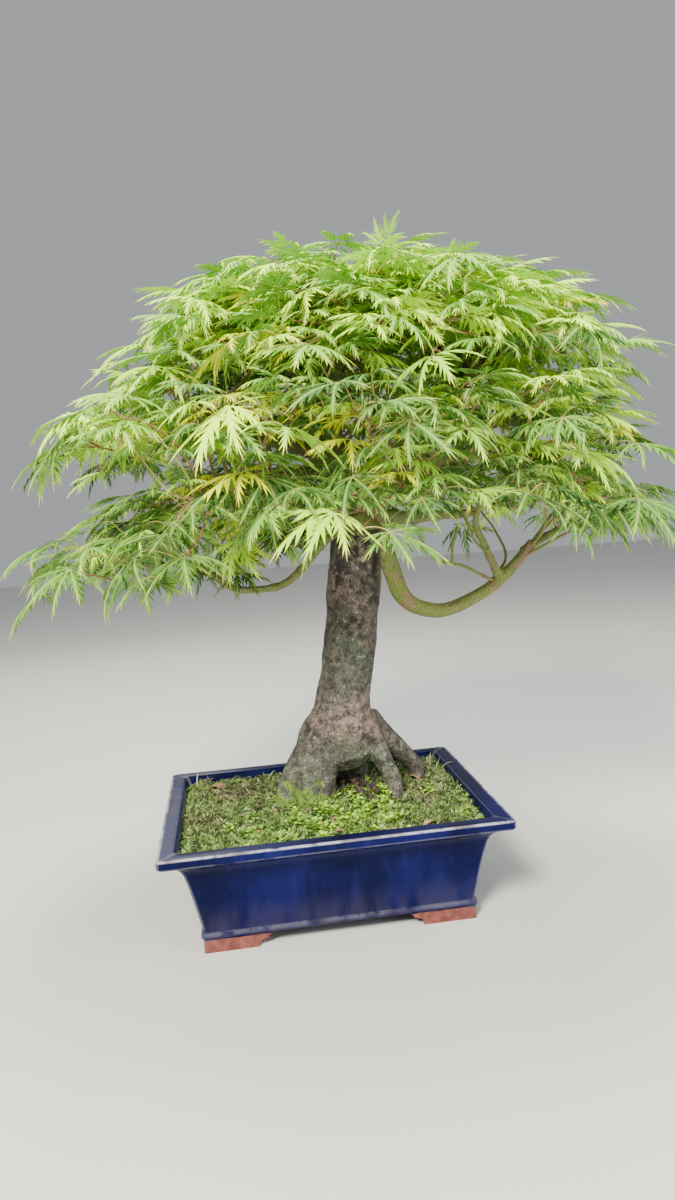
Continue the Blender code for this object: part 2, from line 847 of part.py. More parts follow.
def direction(heading, climb):
    """Unit vector along a level heading, raised by a climb."""
    level = math.cos(climb)
    return Vector((math.cos(heading) * level, math.sin(heading) * level, math.sin(climb)))


def tree_of(shape):
    """Search tree, centre and reach of a shape, for tests of whether shapes cross."""
    centre = sum(shape[0], Vector()) / len(shape[0])
    reach = max((point - centre).length for point in shape[0])
    return BVHTree.FromPolygons(shape[0], shape[1]), centre, reach


def crosses(candidate, others):
    """Whether a shape's surface crosses that of any other."""
    search, centre, reach = candidate
    for other, other_centre, other_reach in others:
        if (centre - other_centre).length < reach + other_reach and search.overlap(other):
            return True
    return False


def shoot_course(base, normal, tip, heading):
    """Path and radii of a young shoot that leaves the wood square to its surface and ends level."""
    reach = (tip - base).length
    out = direction(heading, SHOOT_END_CLIMB)
    first_reach, last_reach = (share * reach for share in SHOOT_HANDLES)
    handles = (base, base + normal * first_reach, tip - out * last_reach, tip)
    path = []
    for step in range(SHOOT_STEPS + 1):
        t = step / SHOOT_STEPS
        weights = ((1 - t) ** 3, 3 * t * (1 - t) ** 2, 3 * t * t * (1 - t), t**3)
        path.append(sum((weight * handle for weight, handle in zip(weights, handles)), Vector()))
    first, last = SHOOT_RADIUS
    radii = [first + (last - first) * step / SHOOT_STEPS for step in range(SHOOT_STEPS + 1)]
    path.insert(1, base + normal * SHOOT_FOOT)
    radii.insert(1, first)
    return path, radii


def shoot_sites():
    """Where every shoot's tip is wanted, and how its leaves hang."""
    top = Vector(TOP_SHOOT_TIP)
    sites = [Site(top, top.x, TOP_SHOOT_DROOP, TOP_SHOOT_LEAVES, TOP_SHOOT_LEAF_SCALE)]
    for level, (height, centre_x, half_x, half_y, count, sag, tilt, droop) in enumerate(TIERS):
        for step in range(count):
            angle = 2 * math.pi * (step + 0.5 * (level % 2) + TIER_PHASE) / count
            x = centre_x + half_x * math.cos(angle)
            y = half_y * math.sin(angle)
            z = height - sag * abs(math.cos(angle)) ** 1.5 + tilt * math.cos(angle)
            leaf_count = LEAVES_ON_SHOOT[len(sites) % len(LEAVES_ON_SHOOT)]
            sites.append(Site(Vector((x, y, z)), centre_x, droop, leaf_count, 1.0))
    for x, y, z, droop, leaf_count in INNER_SHOOTS:
        sites.append(Site(Vector((x, y, z)), INNER_AXIS_X, droop, leaf_count, 1.0))
    return sites


def draw_leaf(draw, root, heading, droop, scale, loose):
    """A leaf drawn at random round a heading, looser with each failed try."""
    turn = heading + math.radians(draw.uniform(-TURN_SPREAD, TURN_SPREAD) * loose)
    fall = droop + draw.uniform(*FALL_SPREAD) * loose
    most_climb = max(min(MOST_PETIOLE_BEND - fall, CLIMB_LIMITS[1]), LEAST_TOP_CLIMB)
    climb = draw.uniform(max(CLIMB_LIMITS[0], most_climb - CLIMB_SPREAD), most_climb)
    hub = root + direction(turn, math.radians(climb)) * draw.uniform(*PETIOLE_LENGTH) * scale
    face = turn + math.radians(draw.uniform(-FACE_SPREAD, FACE_SPREAD))
    axis = direction(face, -math.radians(fall))
    roll = Matrix.Rotation(math.radians(draw.uniform(-ROLL_SPREAD, ROLL_SPREAD)), 3, axis)
    side = roll @ Vector((-math.sin(face), math.cos(face), 0))
    return Leaf(root, hub, axis, side, axis.cross(side), draw.uniform(*LEAF_LENGTH) * scale)


def grow_leaf(draw, root, heading, site, others):
    """One leaf that crosses nothing, with its search tree, or None if no room is found."""
    for attempt in range(LEAF_TRIES):
        leaf = draw_leaf(draw, root, heading, site.droop, site.leaf_scale, 1 + attempt / LEAF_TRIES)
        candidate = tree_of(leaf_shape(leaf))
        if not crosses(candidate, others):
            return leaf, candidate
    return None


def leaf_roots(path, count):
    """Where leaves leave a shoot: a pair near its end, then one further back on each side."""
    back = (path[-2] - path[-1]).normalized()
    places = [path[-1] + back * LEAF_NODE_PITCH * (number + 1) for number in range(2)]
    places += [path[-2].lerp(path[-3], share) for share in BACK_LEAF_PLACES]
    return places[:count]


def grow_spray(draw, wood_tree, site, placed):
    """A shoot and its leaves near a site, kept clear of everything placed so far."""
    for attempt in range(SITE_TRIES):
        spread = SITE_JITTER * site.leaf_scale * (1 + attempt / JITTER_GROWTH)
        tip = site.tip + Vector([draw.uniform(-spread, spread) for _ in range(3)])
        heading = heading_out(tip, site.axis_x)
        inward = direction(heading, SEAT_DROP) * draw.uniform(*SEAT_INWARD)
        seat, normal, _, _ = wood_tree[0].find_nearest(tip - inward)
        path, radii = shoot_course(seat + normal * GAP, normal, tip, heading)
        shoot_tree = tree_of(tube(path, radii, SHOOT_SIDES))
        if crosses(shoot_tree, [wood_tree] + placed):
            continue
        found = []
        for number, root in enumerate(leaf_roots(path, site.leaf_count)):
            turn = heading + (1 if number % 2 else -1) * math.radians(LEAF_FAN[number])
            others = [wood_tree] + placed + [tree for _, tree in found]
            grown = grow_leaf(draw, root, turn, site, others)
            if grown:
                found.append(grown)
        if len(found) == site.leaf_count or attempt > SITE_TRIES // 2 and found:
            leaves = [leaf for leaf, _ in found]
            return Spray(path, radii, leaves), [shoot_tree] + [tree for _, tree in found]
    return None


def grow_foliage(wood):
    """Every spray of the crown, none crossing another or the wood."""
    draw = random.Random(SEED)
    points = [vertex.co.copy() for vertex in wood.data.vertices]
    faces = [tuple(polygon.vertices) for polygon in wood.data.polygons]
    wood_tree = tree_of((points, faces))
    placed = []
    sprays = []
    for site in shoot_sites():
        grown = grow_spray(draw, wood_tree, site, placed)
        if grown:
            sprays.append(grown[0])
            placed += grown[1]
    return sprays


def make_spray(number, spray, look):
    """One leafy shoot as a single body."""
    made = add_object(f"leaf_spray_{number:02d}", tube(spray.path, spray.radii, SHOOT_SIDES), look)
    pieces = [add_object("leaf", leaf_shape(leaf), look) for leaf in spray.leaves]
    combine(made, pieces, "UNION", "MANIFOLD")
    return made


def build():
    """Makes every piece and stands them all round the origin."""
    clear_scene()
    holder = bpy.data.objects.new("bonsai", None)
    holder.location = (POT_CENTRE_X, POT_CENTRE_Y, 0)
    bpy.context.scene.collection.objects.link(holder)
    plastic = material("mesh_plastic", MESH_PLASTIC)
    foliage = material("foliage", LEAF_GREEN)
    holes = [foot_hole(name) for name in ROOTS]
    wood = make_wood(material("bark", BARK))
    pieces = [
        make_pot(material("glaze", GLAZE)),
        make_screen("drain_screen_left", -1, plastic),
        make_screen("drain_screen_right", 1, plastic),
        make_soil(material("potting_soil", POTTING_SOIL), holes),
        make_moss(material("moss", MOSS_GREEN), holes),
        wood,
    ]
    for number, spray in enumerate(grow_foliage(wood), 1):
        pieces.append(make_spray(number, spray, foliage))
    for piece in pieces:
        piece.parent = holder


build()
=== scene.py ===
"""Looks of a laceleaf Japanese maple grown as a bonsai in a glazed pot.

The tree's shoots and leaves are placed by the same rules and draws as in the solid model, so that each
fine leaf stands where a solid one does. Finer leaves, more shoots, bark, moss and glaze are then added.
All shapes are worked out round the pot's own centre, in metres, and moved to the frame's pot at the end.
"""

import json
import math
import random
from collections import namedtuple

import bpy
import numpy as np
from mathutils import Matrix, Vector, noise
from mathutils.bvhtree import BVHTree
from mathutils.kdtree import KDTree

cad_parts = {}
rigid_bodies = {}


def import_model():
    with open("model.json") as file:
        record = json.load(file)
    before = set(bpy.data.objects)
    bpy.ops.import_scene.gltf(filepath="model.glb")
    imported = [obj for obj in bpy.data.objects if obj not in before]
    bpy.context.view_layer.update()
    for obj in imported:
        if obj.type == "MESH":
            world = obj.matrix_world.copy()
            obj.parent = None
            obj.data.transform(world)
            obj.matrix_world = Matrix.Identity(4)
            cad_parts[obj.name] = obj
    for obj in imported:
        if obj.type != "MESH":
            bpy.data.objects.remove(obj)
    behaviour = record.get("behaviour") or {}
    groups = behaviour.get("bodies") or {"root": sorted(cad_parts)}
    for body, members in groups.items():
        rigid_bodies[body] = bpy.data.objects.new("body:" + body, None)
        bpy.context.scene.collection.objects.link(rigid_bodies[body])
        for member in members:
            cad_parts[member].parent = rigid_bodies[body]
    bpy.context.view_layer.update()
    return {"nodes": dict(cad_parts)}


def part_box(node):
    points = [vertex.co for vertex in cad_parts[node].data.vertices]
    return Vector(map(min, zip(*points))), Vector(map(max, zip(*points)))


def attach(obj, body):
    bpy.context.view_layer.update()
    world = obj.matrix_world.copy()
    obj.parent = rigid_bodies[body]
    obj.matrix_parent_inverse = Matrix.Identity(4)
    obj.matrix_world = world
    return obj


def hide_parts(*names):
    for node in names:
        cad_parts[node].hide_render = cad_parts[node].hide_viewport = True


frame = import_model()
POT_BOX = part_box("pot")
POT_MIDDLE = Vector(((POT_BOX[0].x + POT_BOX[1].x) / 2, (POT_BOX[0].y + POT_BOX[1].y) / 2, 0))

# Camera, from the pot's centre: place in metres, angles in degrees, and the lens of a 36 mm wide sensor
CAMERA_PLACE = (-0.0879, -0.9163, 0.4382)
CAMERA_TURN = -7.35
CAMERA_DROP = 6.15
CAMERA_ROLL = -3.83
CAMERA_LENS = 24.9
CAMERA_SENSOR = 36.0
CAMERA_RANGE = 50.0

# Stage: half the floor's width, the surroundings, and lights as (name, place, target, size, power, colour)
FLOOR_REACH = 6
SURROUND_COLOUR = (0.94, 0.97, 1.0, 1.0)
SURROUND_STRENGTH = 0.42
LIGHTS = (
    ("key", (-0.9, -1.75, 1.80), (0.0, 0.0, 0.42), 0.6, 150, (1.0, 0.98, 0.80)),
    ("fill", (1.6, -1.2, 1.1), (0.0, 0.0, 0.35), 1.4, 36, (0.98, 1.0, 0.96)),
    ("top", (0.1, 0.3, 2.3), (0.0, 0.0, 0.5), 0.9, 52, (1.0, 1.0, 0.90)),
    ("rim", (-0.6, 1.8, 1.3), (0.0, 0.0, 0.45), 1.0, 10, (1.0, 1.0, 1.0)),
)

# Pot: outside size at the lip, and each ring of the wall as its inset from the lip and its height
POT_LENGTH = 0.360
POT_DEPTH = 0.279
POT_HEIGHT = 0.1166
POT_FLOOR_TOP = 0.0260
FOOT_HEIGHT = 0.0158
LIP_CORNER_RADIUS = 0.006
LEAST_CORNER_RADIUS = 0.003
CORNER_SHRINK = 0.06
OUTER_PROFILE = (
    (0.0356, FOOT_HEIGHT), (0.035, FOOT_HEIGHT + 0.0006), (0.035, 0.02), (0.0354, 0.0207),
    (0.0372, 0.0212), (0.0376, 0.022), (0.0366, 0.027), (0.0333, 0.045), (0.03, 0.062), (0.0266, 0.077),
    (0.0235, 0.089), (0.0208, 0.095), (0.0165, 0.0998), (0.0105, 0.1036), (0.0048, 0.106),
    (0.0012, 0.1068), (0.0002, 0.1078), (0.0, 0.109), (0.0, 0.1145), (0.0005, 0.1158), (0.0018, 0.1165),
    (0.004, POT_HEIGHT),
)
INNER_PROFILE = (
    (0.0164, POT_HEIGHT), (0.018, 0.1162), (0.019, 0.115), (0.02, 0.113), (0.045, POT_FLOOR_TOP),
)
POT_CORNER_STEPS = 8
POT_SIDE_STEPS = 22
POT_SMOOTH_ANGLE = 38
WALL_WAVE = 0.00035
WALL_WAVES = 22
# Bracket feet: each corner has two arms, whose inner ends rise in a small curve and a step
FOOT_INSET = 0.0025
FOOT_WIDTH = 0.018
FOOT_SUNK = 0.003
FOOT_LENGTHS = (0.072, 0.058)
FOOT_TOE = 0.012
FOOT_TOE_RADIUS = 0.004
FOOT_STEP_HEIGHT = 0.0075
FOOT_STEP_RADIUS = 0.006
FOOT_CURVE_STEPS = 5
FOOT_CHAMFER = 0.0008
FOOT_ARM_OFFSET = 0.0004
DRAIN_RADIUS = 0.012
DRAIN_SPACING = 0.150
DRAIN_SIDES = 24
CUT_MARGIN = 0.006
# Rubbed glaze and a painted highlight as (lowest, highest, how far in from the side, strength); the band on
# the lip's top edge is mostly a painted pale highlight line; the pot's corners are rubbed too
WEAR_AND_HIGHLIGHT_BANDS = ((0.1152, math.inf, 0.0030, 0.90), (0.1064, 0.1082, 0.0030, 0.22))
CORNER_WEAR_REACH = 0.003
CORNER_WEAR = 0.16
PLINTH_WEAR_HEIGHTS = (0.0198, 0.0216)
PLINTH_WEAR = 0.12

# Ground in the pot
SOIL_EDGE_HEIGHT = 0.1035
MOUND_RISE = 0.0090
MOUND_CENTRE = (0.030, 0.022)
MOUND_REACH = (0.085, 0.070)
MOSS_THICKNESS = 0.0045
MOSS_CELL = 0.0019
MOSS_CLEARANCE = 0.0006
MOSS_CORNER = 0.007
MOSS_FUZZ = 0.0006
MOSS_EDGE_DROP = 0.0016
# Noise over the ground by its kind, as (features per metre, layer of the noise, weight)
GROUND_NOISE = {
    "cushions": ((55, 0, 0.0022), (120, 3, 0.0026)),
    "patches": ((28, 8, 1.0), (85, 5, 0.7)),
    "tufts": ((210, 2, 1.0), (420, 6, 0.6)),
    "gaps": ((260, 4, 1.0), (90, 7, 0.5)),
    "broad": ((95, 9, 1.0),),
}
# Spots of dry and of fresh moss as (x, y, reach along x, reach along y, strength)
DRY_SPOTS = (
    (-0.102, 0.062, 0.042, 0.03, 1.1), (-0.062, 0.014, 0.02, 0.03, 0.9), (-0.14, -0.02, 0.03, 0.04, 0.8),
    (0.108, -0.024, 0.02, 0.04, 1.1), (0.075, -0.11, 0.045, 0.016, 0.9), (0.14, 0.05, 0.04, 0.06, 0.5),
)
FRESH_SPOTS = (
    (0.034, -0.05, 0.05, 0.05, 1.1), (-0.045, -0.08, 0.05, 0.046, 0.9), (-0.03, 0.002, 0.02, 0.02, 0.8),
    (0.15, -0.082, 0.022, 0.036, 0.7),
)
# How much of the patches' noise makes moss dry or fresh, and what is taken off
DRY_PATCHES = (1.2, 0.12)
FRESH_PATCHES = (0.9, 0.05)
# Moss tint: its middle, then the weights of the tufts', the broad and the drawn difference
MOSS_TINT = (0.40, 0.85, 0.55, 0.5)
MOSS_MIDDLE_DRAW = 0.5
# How high a place looks, which sets its painted shade, darkest where low: 1, then the weights of the gaps'
# and the broad difference
MOSS_SHADE_LIFT = (1.0, 2.2, 0.8)
LEAST_SHADE_LIFT_SHARE = 0.10
# The mat under the tufts: how much of the drawn tint it takes, its lift, which paints it partly shaded, and
# the colour of its sides, which are painted in full shade
MAT_DRAW = 0.6
MAT_SHADE_LIFT = 0.35
MAT_SIDE_SHADE_COLOUR = (0.1, 1.0, 0.0, 0.0)
# Tufts of moss: a pointed shape with a belt of three points
MOSS_TUFTS = 19000
TUFT_MARGIN = 0.001
TUFT_SUNK = 0.0012
TUFT_LEAN = 1.3
TUFT_HEIGHT = (0.0024, 0.0058)
TUFT_STRETCHES = (1.0, 1.0, 1.4)
TUFT_GIRTH = (0.00050, 0.00110)
TUFT_BELT = 0.45
TUFT_SIDES = 3
TUFT_FACES = ((0, 1, 2), (0, 2, 3), (0, 3, 1), (4, 2, 1), (4, 3, 2), (4, 1, 3))
# Lift of a tuft's tip, its belt's three points and its foot: the low feet are painted in shade
TUFT_SHADE_LIFTS = (1.0, 0.6, 0.6, 0.6, 0.1)

# Seeds of the smaller pieces' draws
SEEDS = {
    "branches": 12, "mat": 13, "tufts": 14, "seedlings": 15,
    "litter": 16, "crumbs": 17, "dry_bits": 18, "weeds": 19,
}

# Groups of seedlings as (x, y, reach along x, reach along y, clumps), then a clump and its round leaves
SEEDLING_GROUPS = (
    (0.036, -0.052, 0.03, 0.036, 34), (-0.042, -0.076, 0.034, 0.032, 26), (-0.03, 0.004, 0.01, 0.016, 6),
    (0.146, -0.08, 0.014, 0.024, 7),
)
SEEDLINGS_IN_CLUMP = 9
SEEDLING_CLUMP_HEIGHT = (0.005, 0.014)
SEEDLING_CLUMP_TINT = (0.35, 0.95)
SEEDLING_STRAY = 0.0040
SEEDLING_MARGIN = 0.004
SEEDLING_SHRINK = 90
LEAST_SEEDLING_SHARE = 0.4
SEEDLING_SIDES = 6
SEEDLING_LEAN = 0.3
SEEDLING_STEM = (0.0003, 0.00025)
SEEDLING_LEAVES = 4
SEEDLING_LEAF_TURN = 1.9
SEEDLING_LEAF_STRAY = 0.4
SEEDLING_LEAF_PITCH = 0.22
SEEDLING_LEAF_CLIMB = (-0.2, 0.9)
SEEDLING_LEAF_WIDTH = (0.0028, 0.0050)
SEEDLING_TINT_STRAY = 0.35
SEEDLING_TINT_FALL = 0.12
ROUND_LEAF_REACH = 0.62
ROUND_LEAF_CUP = 0.10
STEM_SUNK = 0.001
STEM_SIDES = 3
# Weeds as groups of thin blades: (x, y, reach along x, reach along y, tallest, count)
WEEDS = (
    (0.148, 0.08, 0.014, 0.022, 0.017, 150), (0.15, 0.015, 0.012, 0.04, 0.011, 90),
    (0.122, -0.02, 0.016, 0.03, 0.008, 60), (-0.04, 0.1, 0.024, 0.008, 0.012, 60),
    (-0.034, 0.006, 0.014, 0.016, 0.013, 50), (-0.14, 0.06, 0.01, 0.03, 0.008, 40),
    (0.15, -0.09, 0.012, 0.02, 0.008, 50),
)
WEED_MARGIN = 0.002
WEED_HEIGHT_SHARE = (0.4, 1.0)
WEED_CLIMB = (0.5, 1.5)
WEED_WIDTH = (0.0004, 0.0009)
WEED_CURL = (0.2, 1.6)
WEED_CUP = 0.3
WEED_STEPS = 3
# Dry bits: how many, how much of the moss they lie on, and their spreads
DRY_BITS = 1100
DRY_BIT_AREA = 0.97
DRY_BIT_LIFT = (0.0005, 0.0035)
DRY_BIT_CLIMB = (-0.1, 0.5)
DRY_BIT_LENGTH = (0.004, 0.013)
DRY_BIT_BEND = 0.0012
DRY_BIT_GIRTH = (0.00018, 0.00042)
# Fallen leaves as (x, y, heading, length, width, tint)
FALLEN = (
    (-0.13, 0.09, -0.3, 0.024, 0.0085, 0.55), (-0.124, 0.034, 0.6, 0.012, 0.0035, 0.1),
    (-0.11, 0.05, 2.4, 0.01, 0.003, 0.95), (-0.086, -0.07, 0.4, 0.013, 0.006, 0.75),
    (-0.078, -0.078, 2.6, 0.012, 0.005, 0.6), (0.0, -0.066, 0.3, 0.012, 0.005, 0.75),
    (0.0, -0.098, 0.2, 0.009, 0.0045, 0.6), (0.09, -0.11, 0.75, 0.026, 0.0048, 0.95),
    (0.062, -0.112, 2.9, 0.01, 0.0042, 0.8), (0.108, 0.038, -0.5, 0.014, 0.0065, 0.45),
    (-0.166, 0.05, 1.5, 0.01, 0.004, 0.3), (-0.058, -0.024, 0.9, 0.01, 0.0042, 0.6),
    (-0.03, 0.104, 0.1, 0.014, 0.0055, 0.4), (0.12, 0.088, 1.9, 0.013, 0.005, 0.5),
)
FALLEN_LIFT = 0.0026
FALLEN_CLIMB = (0.0, 0.25)
FALLEN_CURL = 0.5
FALLEN_CUP = (0.2, 0.7)
FALLEN_STEPS = 7
# Grass and dead stalks as (x, y, heading, climb, length, curl)
STRAWS = (
    (0.118, -0.016, 0.15, 0.55, 0.058, 1.3), (0.142, 0.074, 1.2, 1.25, 0.024, 0.4),
    (0.15, 0.06, 0.3, 1.1, 0.028, 0.8), (0.148, 0.02, 2.5, 1.2, 0.022, 0.5),
    (0.14, -0.03, 0.2, 0.9, 0.03, 0.9), (0.135, 0.1, 3.0, 1.2, 0.02, 0.6),
    (-0.146, -0.066, 2.7, 0.5, 0.014, 0.5), (-0.148, 0.102, 1.4, 1.3, 0.02, 0.3),
    (-0.06, 0.098, 0.8, 1.2, 0.018, 0.6), (0.152, -0.062, 1.0, 0.9, 0.026, 0.9),
)
STRAW_WIDTH = 0.0007
STRAW_CUP = 0.2
STRAW_STEPS = 8
STRAW_TINTS = (0.3, 0.07)
# A blade's outline: its shares at the ends, how blunt it is, and half its thickness
BLADE_ENDS = (0.04, 0.97)
BLADE_BLUNTNESS = 0.7
BLADE_HALF_THICKNESS = 0.00016
# Crumbs of soil between the roots: how many, middle and spread along x and y, and their shapes
CRUMBS = 60
CRUMB_SPREAD = ((0.042, 0.012), (0.006, 0.014))
CRUMB_SIZE = (0.0016, 0.0038)
CRUMB_LIFT = (0.0, 0.008)
CRUMB_ROUGHNESS = (0.75, 1.25)
CRUMB_RINGS = 5
CRUMB_SIDES = 6

# Trunk and roots as rows of (x, y, z, radius); each root begins with its count of sides
ROOT_BOTTOM = 0.0880
ROOT_BEND_DROP = 0.004
TRUNK_SIDES = 10
TRUNK = (
    (0.036, 0.032, 0.148, 0.034), (0.033, 0.028, 0.17, 0.046), (0.031, 0.022, 0.19, 0.042),
    (0.03, 0.02, 0.212, 0.033), (0.037, 0.02, 0.25, 0.031), (0.0455, 0.02, 0.3, 0.0305),
    (0.052, 0.02, 0.35, 0.031), (0.057, 0.02, 0.39, 0.03), (0.061, 0.021, 0.425, 0.026),
    (0.06, 0.023, 0.447, 0.019),
)
ROOTS = {
    "left_mass": (
        8, (0.013, 0.02, 0.208, 0.018), (0.002, 0.014, 0.182, 0.025), (-0.006, 0.005, 0.155, 0.026),
        (-0.012, 0.0, 0.137, 0.026), (-0.013, -0.002, 0.121, 0.026),
        (-0.013, -0.002, ROOT_BOTTOM, 0.026),
    ),
    "front_leg": (
        6, (0.052, 0.014, 0.188, 0.019), (0.067, -0.001, 0.157, 0.012), (0.077, -0.012, 0.136, 0.0098),
        (0.08, -0.016, 0.121, 0.0092), (0.08, -0.016, ROOT_BOTTOM, 0.0092),
    ),
    "right_leg": (
        6, (0.056, 0.025, 0.188, 0.022), (0.086, 0.033, 0.16, 0.0138), (0.108, 0.041, 0.137, 0.011),
        (0.118, 0.046, 0.121, 0.01), (0.118, 0.046, ROOT_BOTTOM, 0.01),
    ),
    "back_mass": (
        8, (0.035, 0.034, 0.188, 0.03), (0.036, 0.05, 0.156, 0.03), (0.035, 0.058, 0.138, 0.028),
        (0.035, 0.06, 0.121, 0.027), (0.035, 0.06, ROOT_BOTTOM, 0.027),
    ),
    "back_left_root": (
        6, (0.01, 0.04, 0.178, 0.018), (-0.012, 0.06, 0.148, 0.013), (-0.026, 0.072, 0.121, 0.011),
        (-0.026, 0.072, ROOT_BOTTOM, 0.011),
    ),
    "back_right_root": (
        6, (0.052, 0.044, 0.178, 0.018), (0.076, 0.078, 0.146, 0.013), (0.087, 0.092, 0.121, 0.01),
        (0.087, 0.092, ROOT_BOTTOM, 0.01),
    ),
    "side_root": (
        6, (-0.014, 0.01, 0.164, 0.018), (-0.032, 0.004, 0.14, 0.015), (-0.043, 0.0, 0.121, 0.012),
        (-0.043, 0.0, ROOT_BOTTOM, 0.012),
    ),
}
# Main branches: the radius at each end, then rows of (x, y, z)
BRANCHES = {
    "leader": (
        (0.02, 0.005), (0.059, 0.022, 0.425), (0.047, 0.03, 0.49), (0.036, 0.03, 0.55),
        (0.05, 0.02, 0.605), (0.085, 0.008, 0.65), (0.104, 0.0, 0.69),
    ),
    "right_leader": (
        (0.018, 0.0045), (0.06, 0.016, 0.412), (0.1, 0.002, 0.47), (0.15, -0.004, 0.53),
        (0.2, 0.008, 0.58), (0.25, 0.018, 0.608),
    ),
    "right_limb": (
        (0.013, 0.0056), (0.062, 0.006, 0.428), (0.079, -0.012, 0.405), (0.09, -0.016, 0.372),
        (0.102, -0.016, 0.338), (0.127, -0.015, 0.322), (0.158, -0.014, 0.321), (0.204, -0.01, 0.34),
        (0.236, -0.01, 0.366), (0.257, -0.01, 0.389),
    ),
    "right_limb_end": (
        (0.005, 0.0028), (0.246, -0.008, 0.378), (0.293, 0.0, 0.4), (0.345, 0.004, 0.41),
    ),
    "right_limb_shoot": (
        (0.0048, 0.0026), (0.216, -0.01, 0.35), (0.198, -0.022, 0.384), (0.182, -0.04, 0.418),
        (0.19, -0.06, 0.45),
    ),
    "second_limb": (
        (0.0105, 0.0045), (0.064, 0.026, 0.43), (0.096, 0.042, 0.428), (0.134, 0.064, 0.424),
        (0.182, 0.094, 0.424), (0.23, 0.118, 0.424),
    ),
    "left_limb": (
        (0.005, 0.0026), (0.05, 0.008, 0.42), (0.02, -0.008, 0.406), (0.0, -0.01, 0.386),
        (-0.024, -0.01, 0.364), (-0.055, -0.008, 0.358), (-0.088, -0.004, 0.363), (-0.122, 0.0, 0.39),
        (-0.165, 0.006, 0.392), (-0.215, 0.012, 0.396),
    ),
    "left_upper": (
        (0.01, 0.0034), (0.046, 0.03, 0.492), (-0.02, 0.038, 0.52), (-0.095, 0.04, 0.532),
        (-0.165, 0.036, 0.522), (-0.222, 0.03, 0.5),
    ),
    "left_front": (
        (0.009, 0.0032), (0.056, 0.008, 0.42), (0.006, -0.055, 0.446), (-0.056, -0.105, 0.462),
        (-0.118, -0.136, 0.456),
    ),
    "front": (
        (0.009, 0.0032), (0.062, 0.014, 0.44), (0.068, -0.06, 0.474), (0.074, -0.118, 0.482),
        (0.08, -0.165, 0.472),
    ),
    "right_front": (
        (0.009, 0.0032), (0.098, 0.002, 0.468), (0.146, -0.056, 0.486), (0.2, -0.104, 0.488),
        (0.246, -0.134, 0.474),
    ),
    "right_middle": (
        (0.0095, 0.0032), (0.138, -0.002, 0.514), (0.205, -0.014, 0.524), (0.27, -0.012, 0.52),
        (0.335, -0.002, 0.5),
    ),
    "back_left": (
        (0.0095, 0.0032), (0.048, 0.034, 0.476), (-0.012, 0.092, 0.488), (-0.072, 0.132, 0.486),
        (-0.122, 0.152, 0.47),
    ),
    "back": (
        (0.009, 0.0032), (0.058, 0.028, 0.436), (0.064, 0.1, 0.472), (0.072, 0.16, 0.48),
        (0.08, 0.19, 0.47),
    ),
    "back_right": (
        (0.009, 0.0032), (0.098, 0.004, 0.468), (0.15, 0.07, 0.486), (0.206, 0.116, 0.488),
        (0.252, 0.144, 0.474),
    ),
    "upper_left": (
        (0.0075, 0.003), (0.038, 0.028, 0.566), (-0.014, 0.018, 0.602), (-0.07, 0.006, 0.616),
    ),
    "upper_front": (
        (0.007, 0.003), (0.048, 0.018, 0.596), (0.066, -0.04, 0.62), (0.084, -0.086, 0.622),
    ),
    "upper_back": (
        (0.007, 0.003), (0.046, 0.022, 0.588), (0.058, 0.078, 0.614), (0.072, 0.116, 0.616),
    ),
    "upper_right": (
        (0.007, 0.003), (0.172, 0.0, 0.552), (0.196, -0.044, 0.592), (0.212, -0.076, 0.606),
    ),
    "upper_right_back": (
        (0.007, 0.003), (0.186, 0.004, 0.564), (0.204, 0.05, 0.596), (0.22, 0.084, 0.604),
    ),
}
# Bare twigs on the low limbs, as rows of (x, y, z)
TWIGS = (
    (
        (0.207, -0.012, 0.348), (0.174, -0.02, 0.366), (0.142, -0.03, 0.377), (0.124, -0.035, 0.396),
        (0.111, -0.04, 0.42),
    ),
    ((0.157, -0.026, 0.371), (0.158, -0.03, 0.392), (0.163, -0.034, 0.412)),
    ((0.217, -0.01, 0.354), (0.197, -0.02, 0.381), (0.18, -0.03, 0.4), (0.171, -0.04, 0.428)),
    ((0.241, -0.01, 0.369), (0.267, -0.02, 0.384), (0.299, -0.03, 0.399), (0.335, -0.04, 0.399)),
    ((0.255, -0.009, 0.386), (0.289, 0.01, 0.416), (0.322, 0.02, 0.436)),
    ((0.196, -0.01, 0.338), (0.23, 0.01, 0.368), (0.226, 0.02, 0.397), (0.209, 0.03, 0.428)),
    ((0.252, -0.009, 0.38), (0.262, -0.03, 0.402), (0.258, -0.05, 0.43)),
    ((-0.088, -0.004, 0.365), (-0.112, -0.02, 0.384), (-0.13, -0.04, 0.404)),
    ((-0.1, -0.002, 0.372), (-0.128, 0.02, 0.382), (-0.16, 0.04, 0.38)),
)
TWIG_RADIUS = (0.0019, 0.0011)
BRANCH_SIDES = 5
TWIG_SIDES = 4
# Every tube's first ring starts from the part of this direction that is square to the tube
TUBE_GUIDE = (0.31, 0.87, 0.39)
THICK_BRANCH = 0.0120
BRANCH_STEP = 0.045
BRANCH_TAPER_POWER = 0.8

# Fine wood
# Grain of the bark's skin, then the strength and the rounds of its smoothing
BARK_VOXEL = 0.0017
BARK_RELAXING = (0.5, 6)
FINE_TRUNK_SIDES = 28
FINE_BRANCH_SIDES = 12
LIMB_SIDES = 16
FINE_STEP = 0.005
# Collar: the first stretch of a thin branch, in the trunk's skin, wider at its foot
COLLAR_LENGTH = 0.034
COLLAR_FLARE = (1.30, 0.96)
LEAST_COLLAR_STEPS = 3
# Bark relief: lumps as (features per metre, height), then plates with clefts between them, and fine grain
BARK_LUMPS = ((24, 0.0020), (62, 0.0012))
BARK_FULL_RADIUS = 0.030
THIN_LUMP_SHARE = 0.20
BARK_GRAIN_STRETCH = 0.4
BARK_PLATES = 150
BARK_PLATE_SHIFT = (3, 1, 7)
BARK_CLEFT_EDGE = 0.18
BARK_CLEFT_GAIN = 2.2
BARK_CLEFT_DEPTH = 0.0006
BARK_GRAIN = (330, 0.00045)
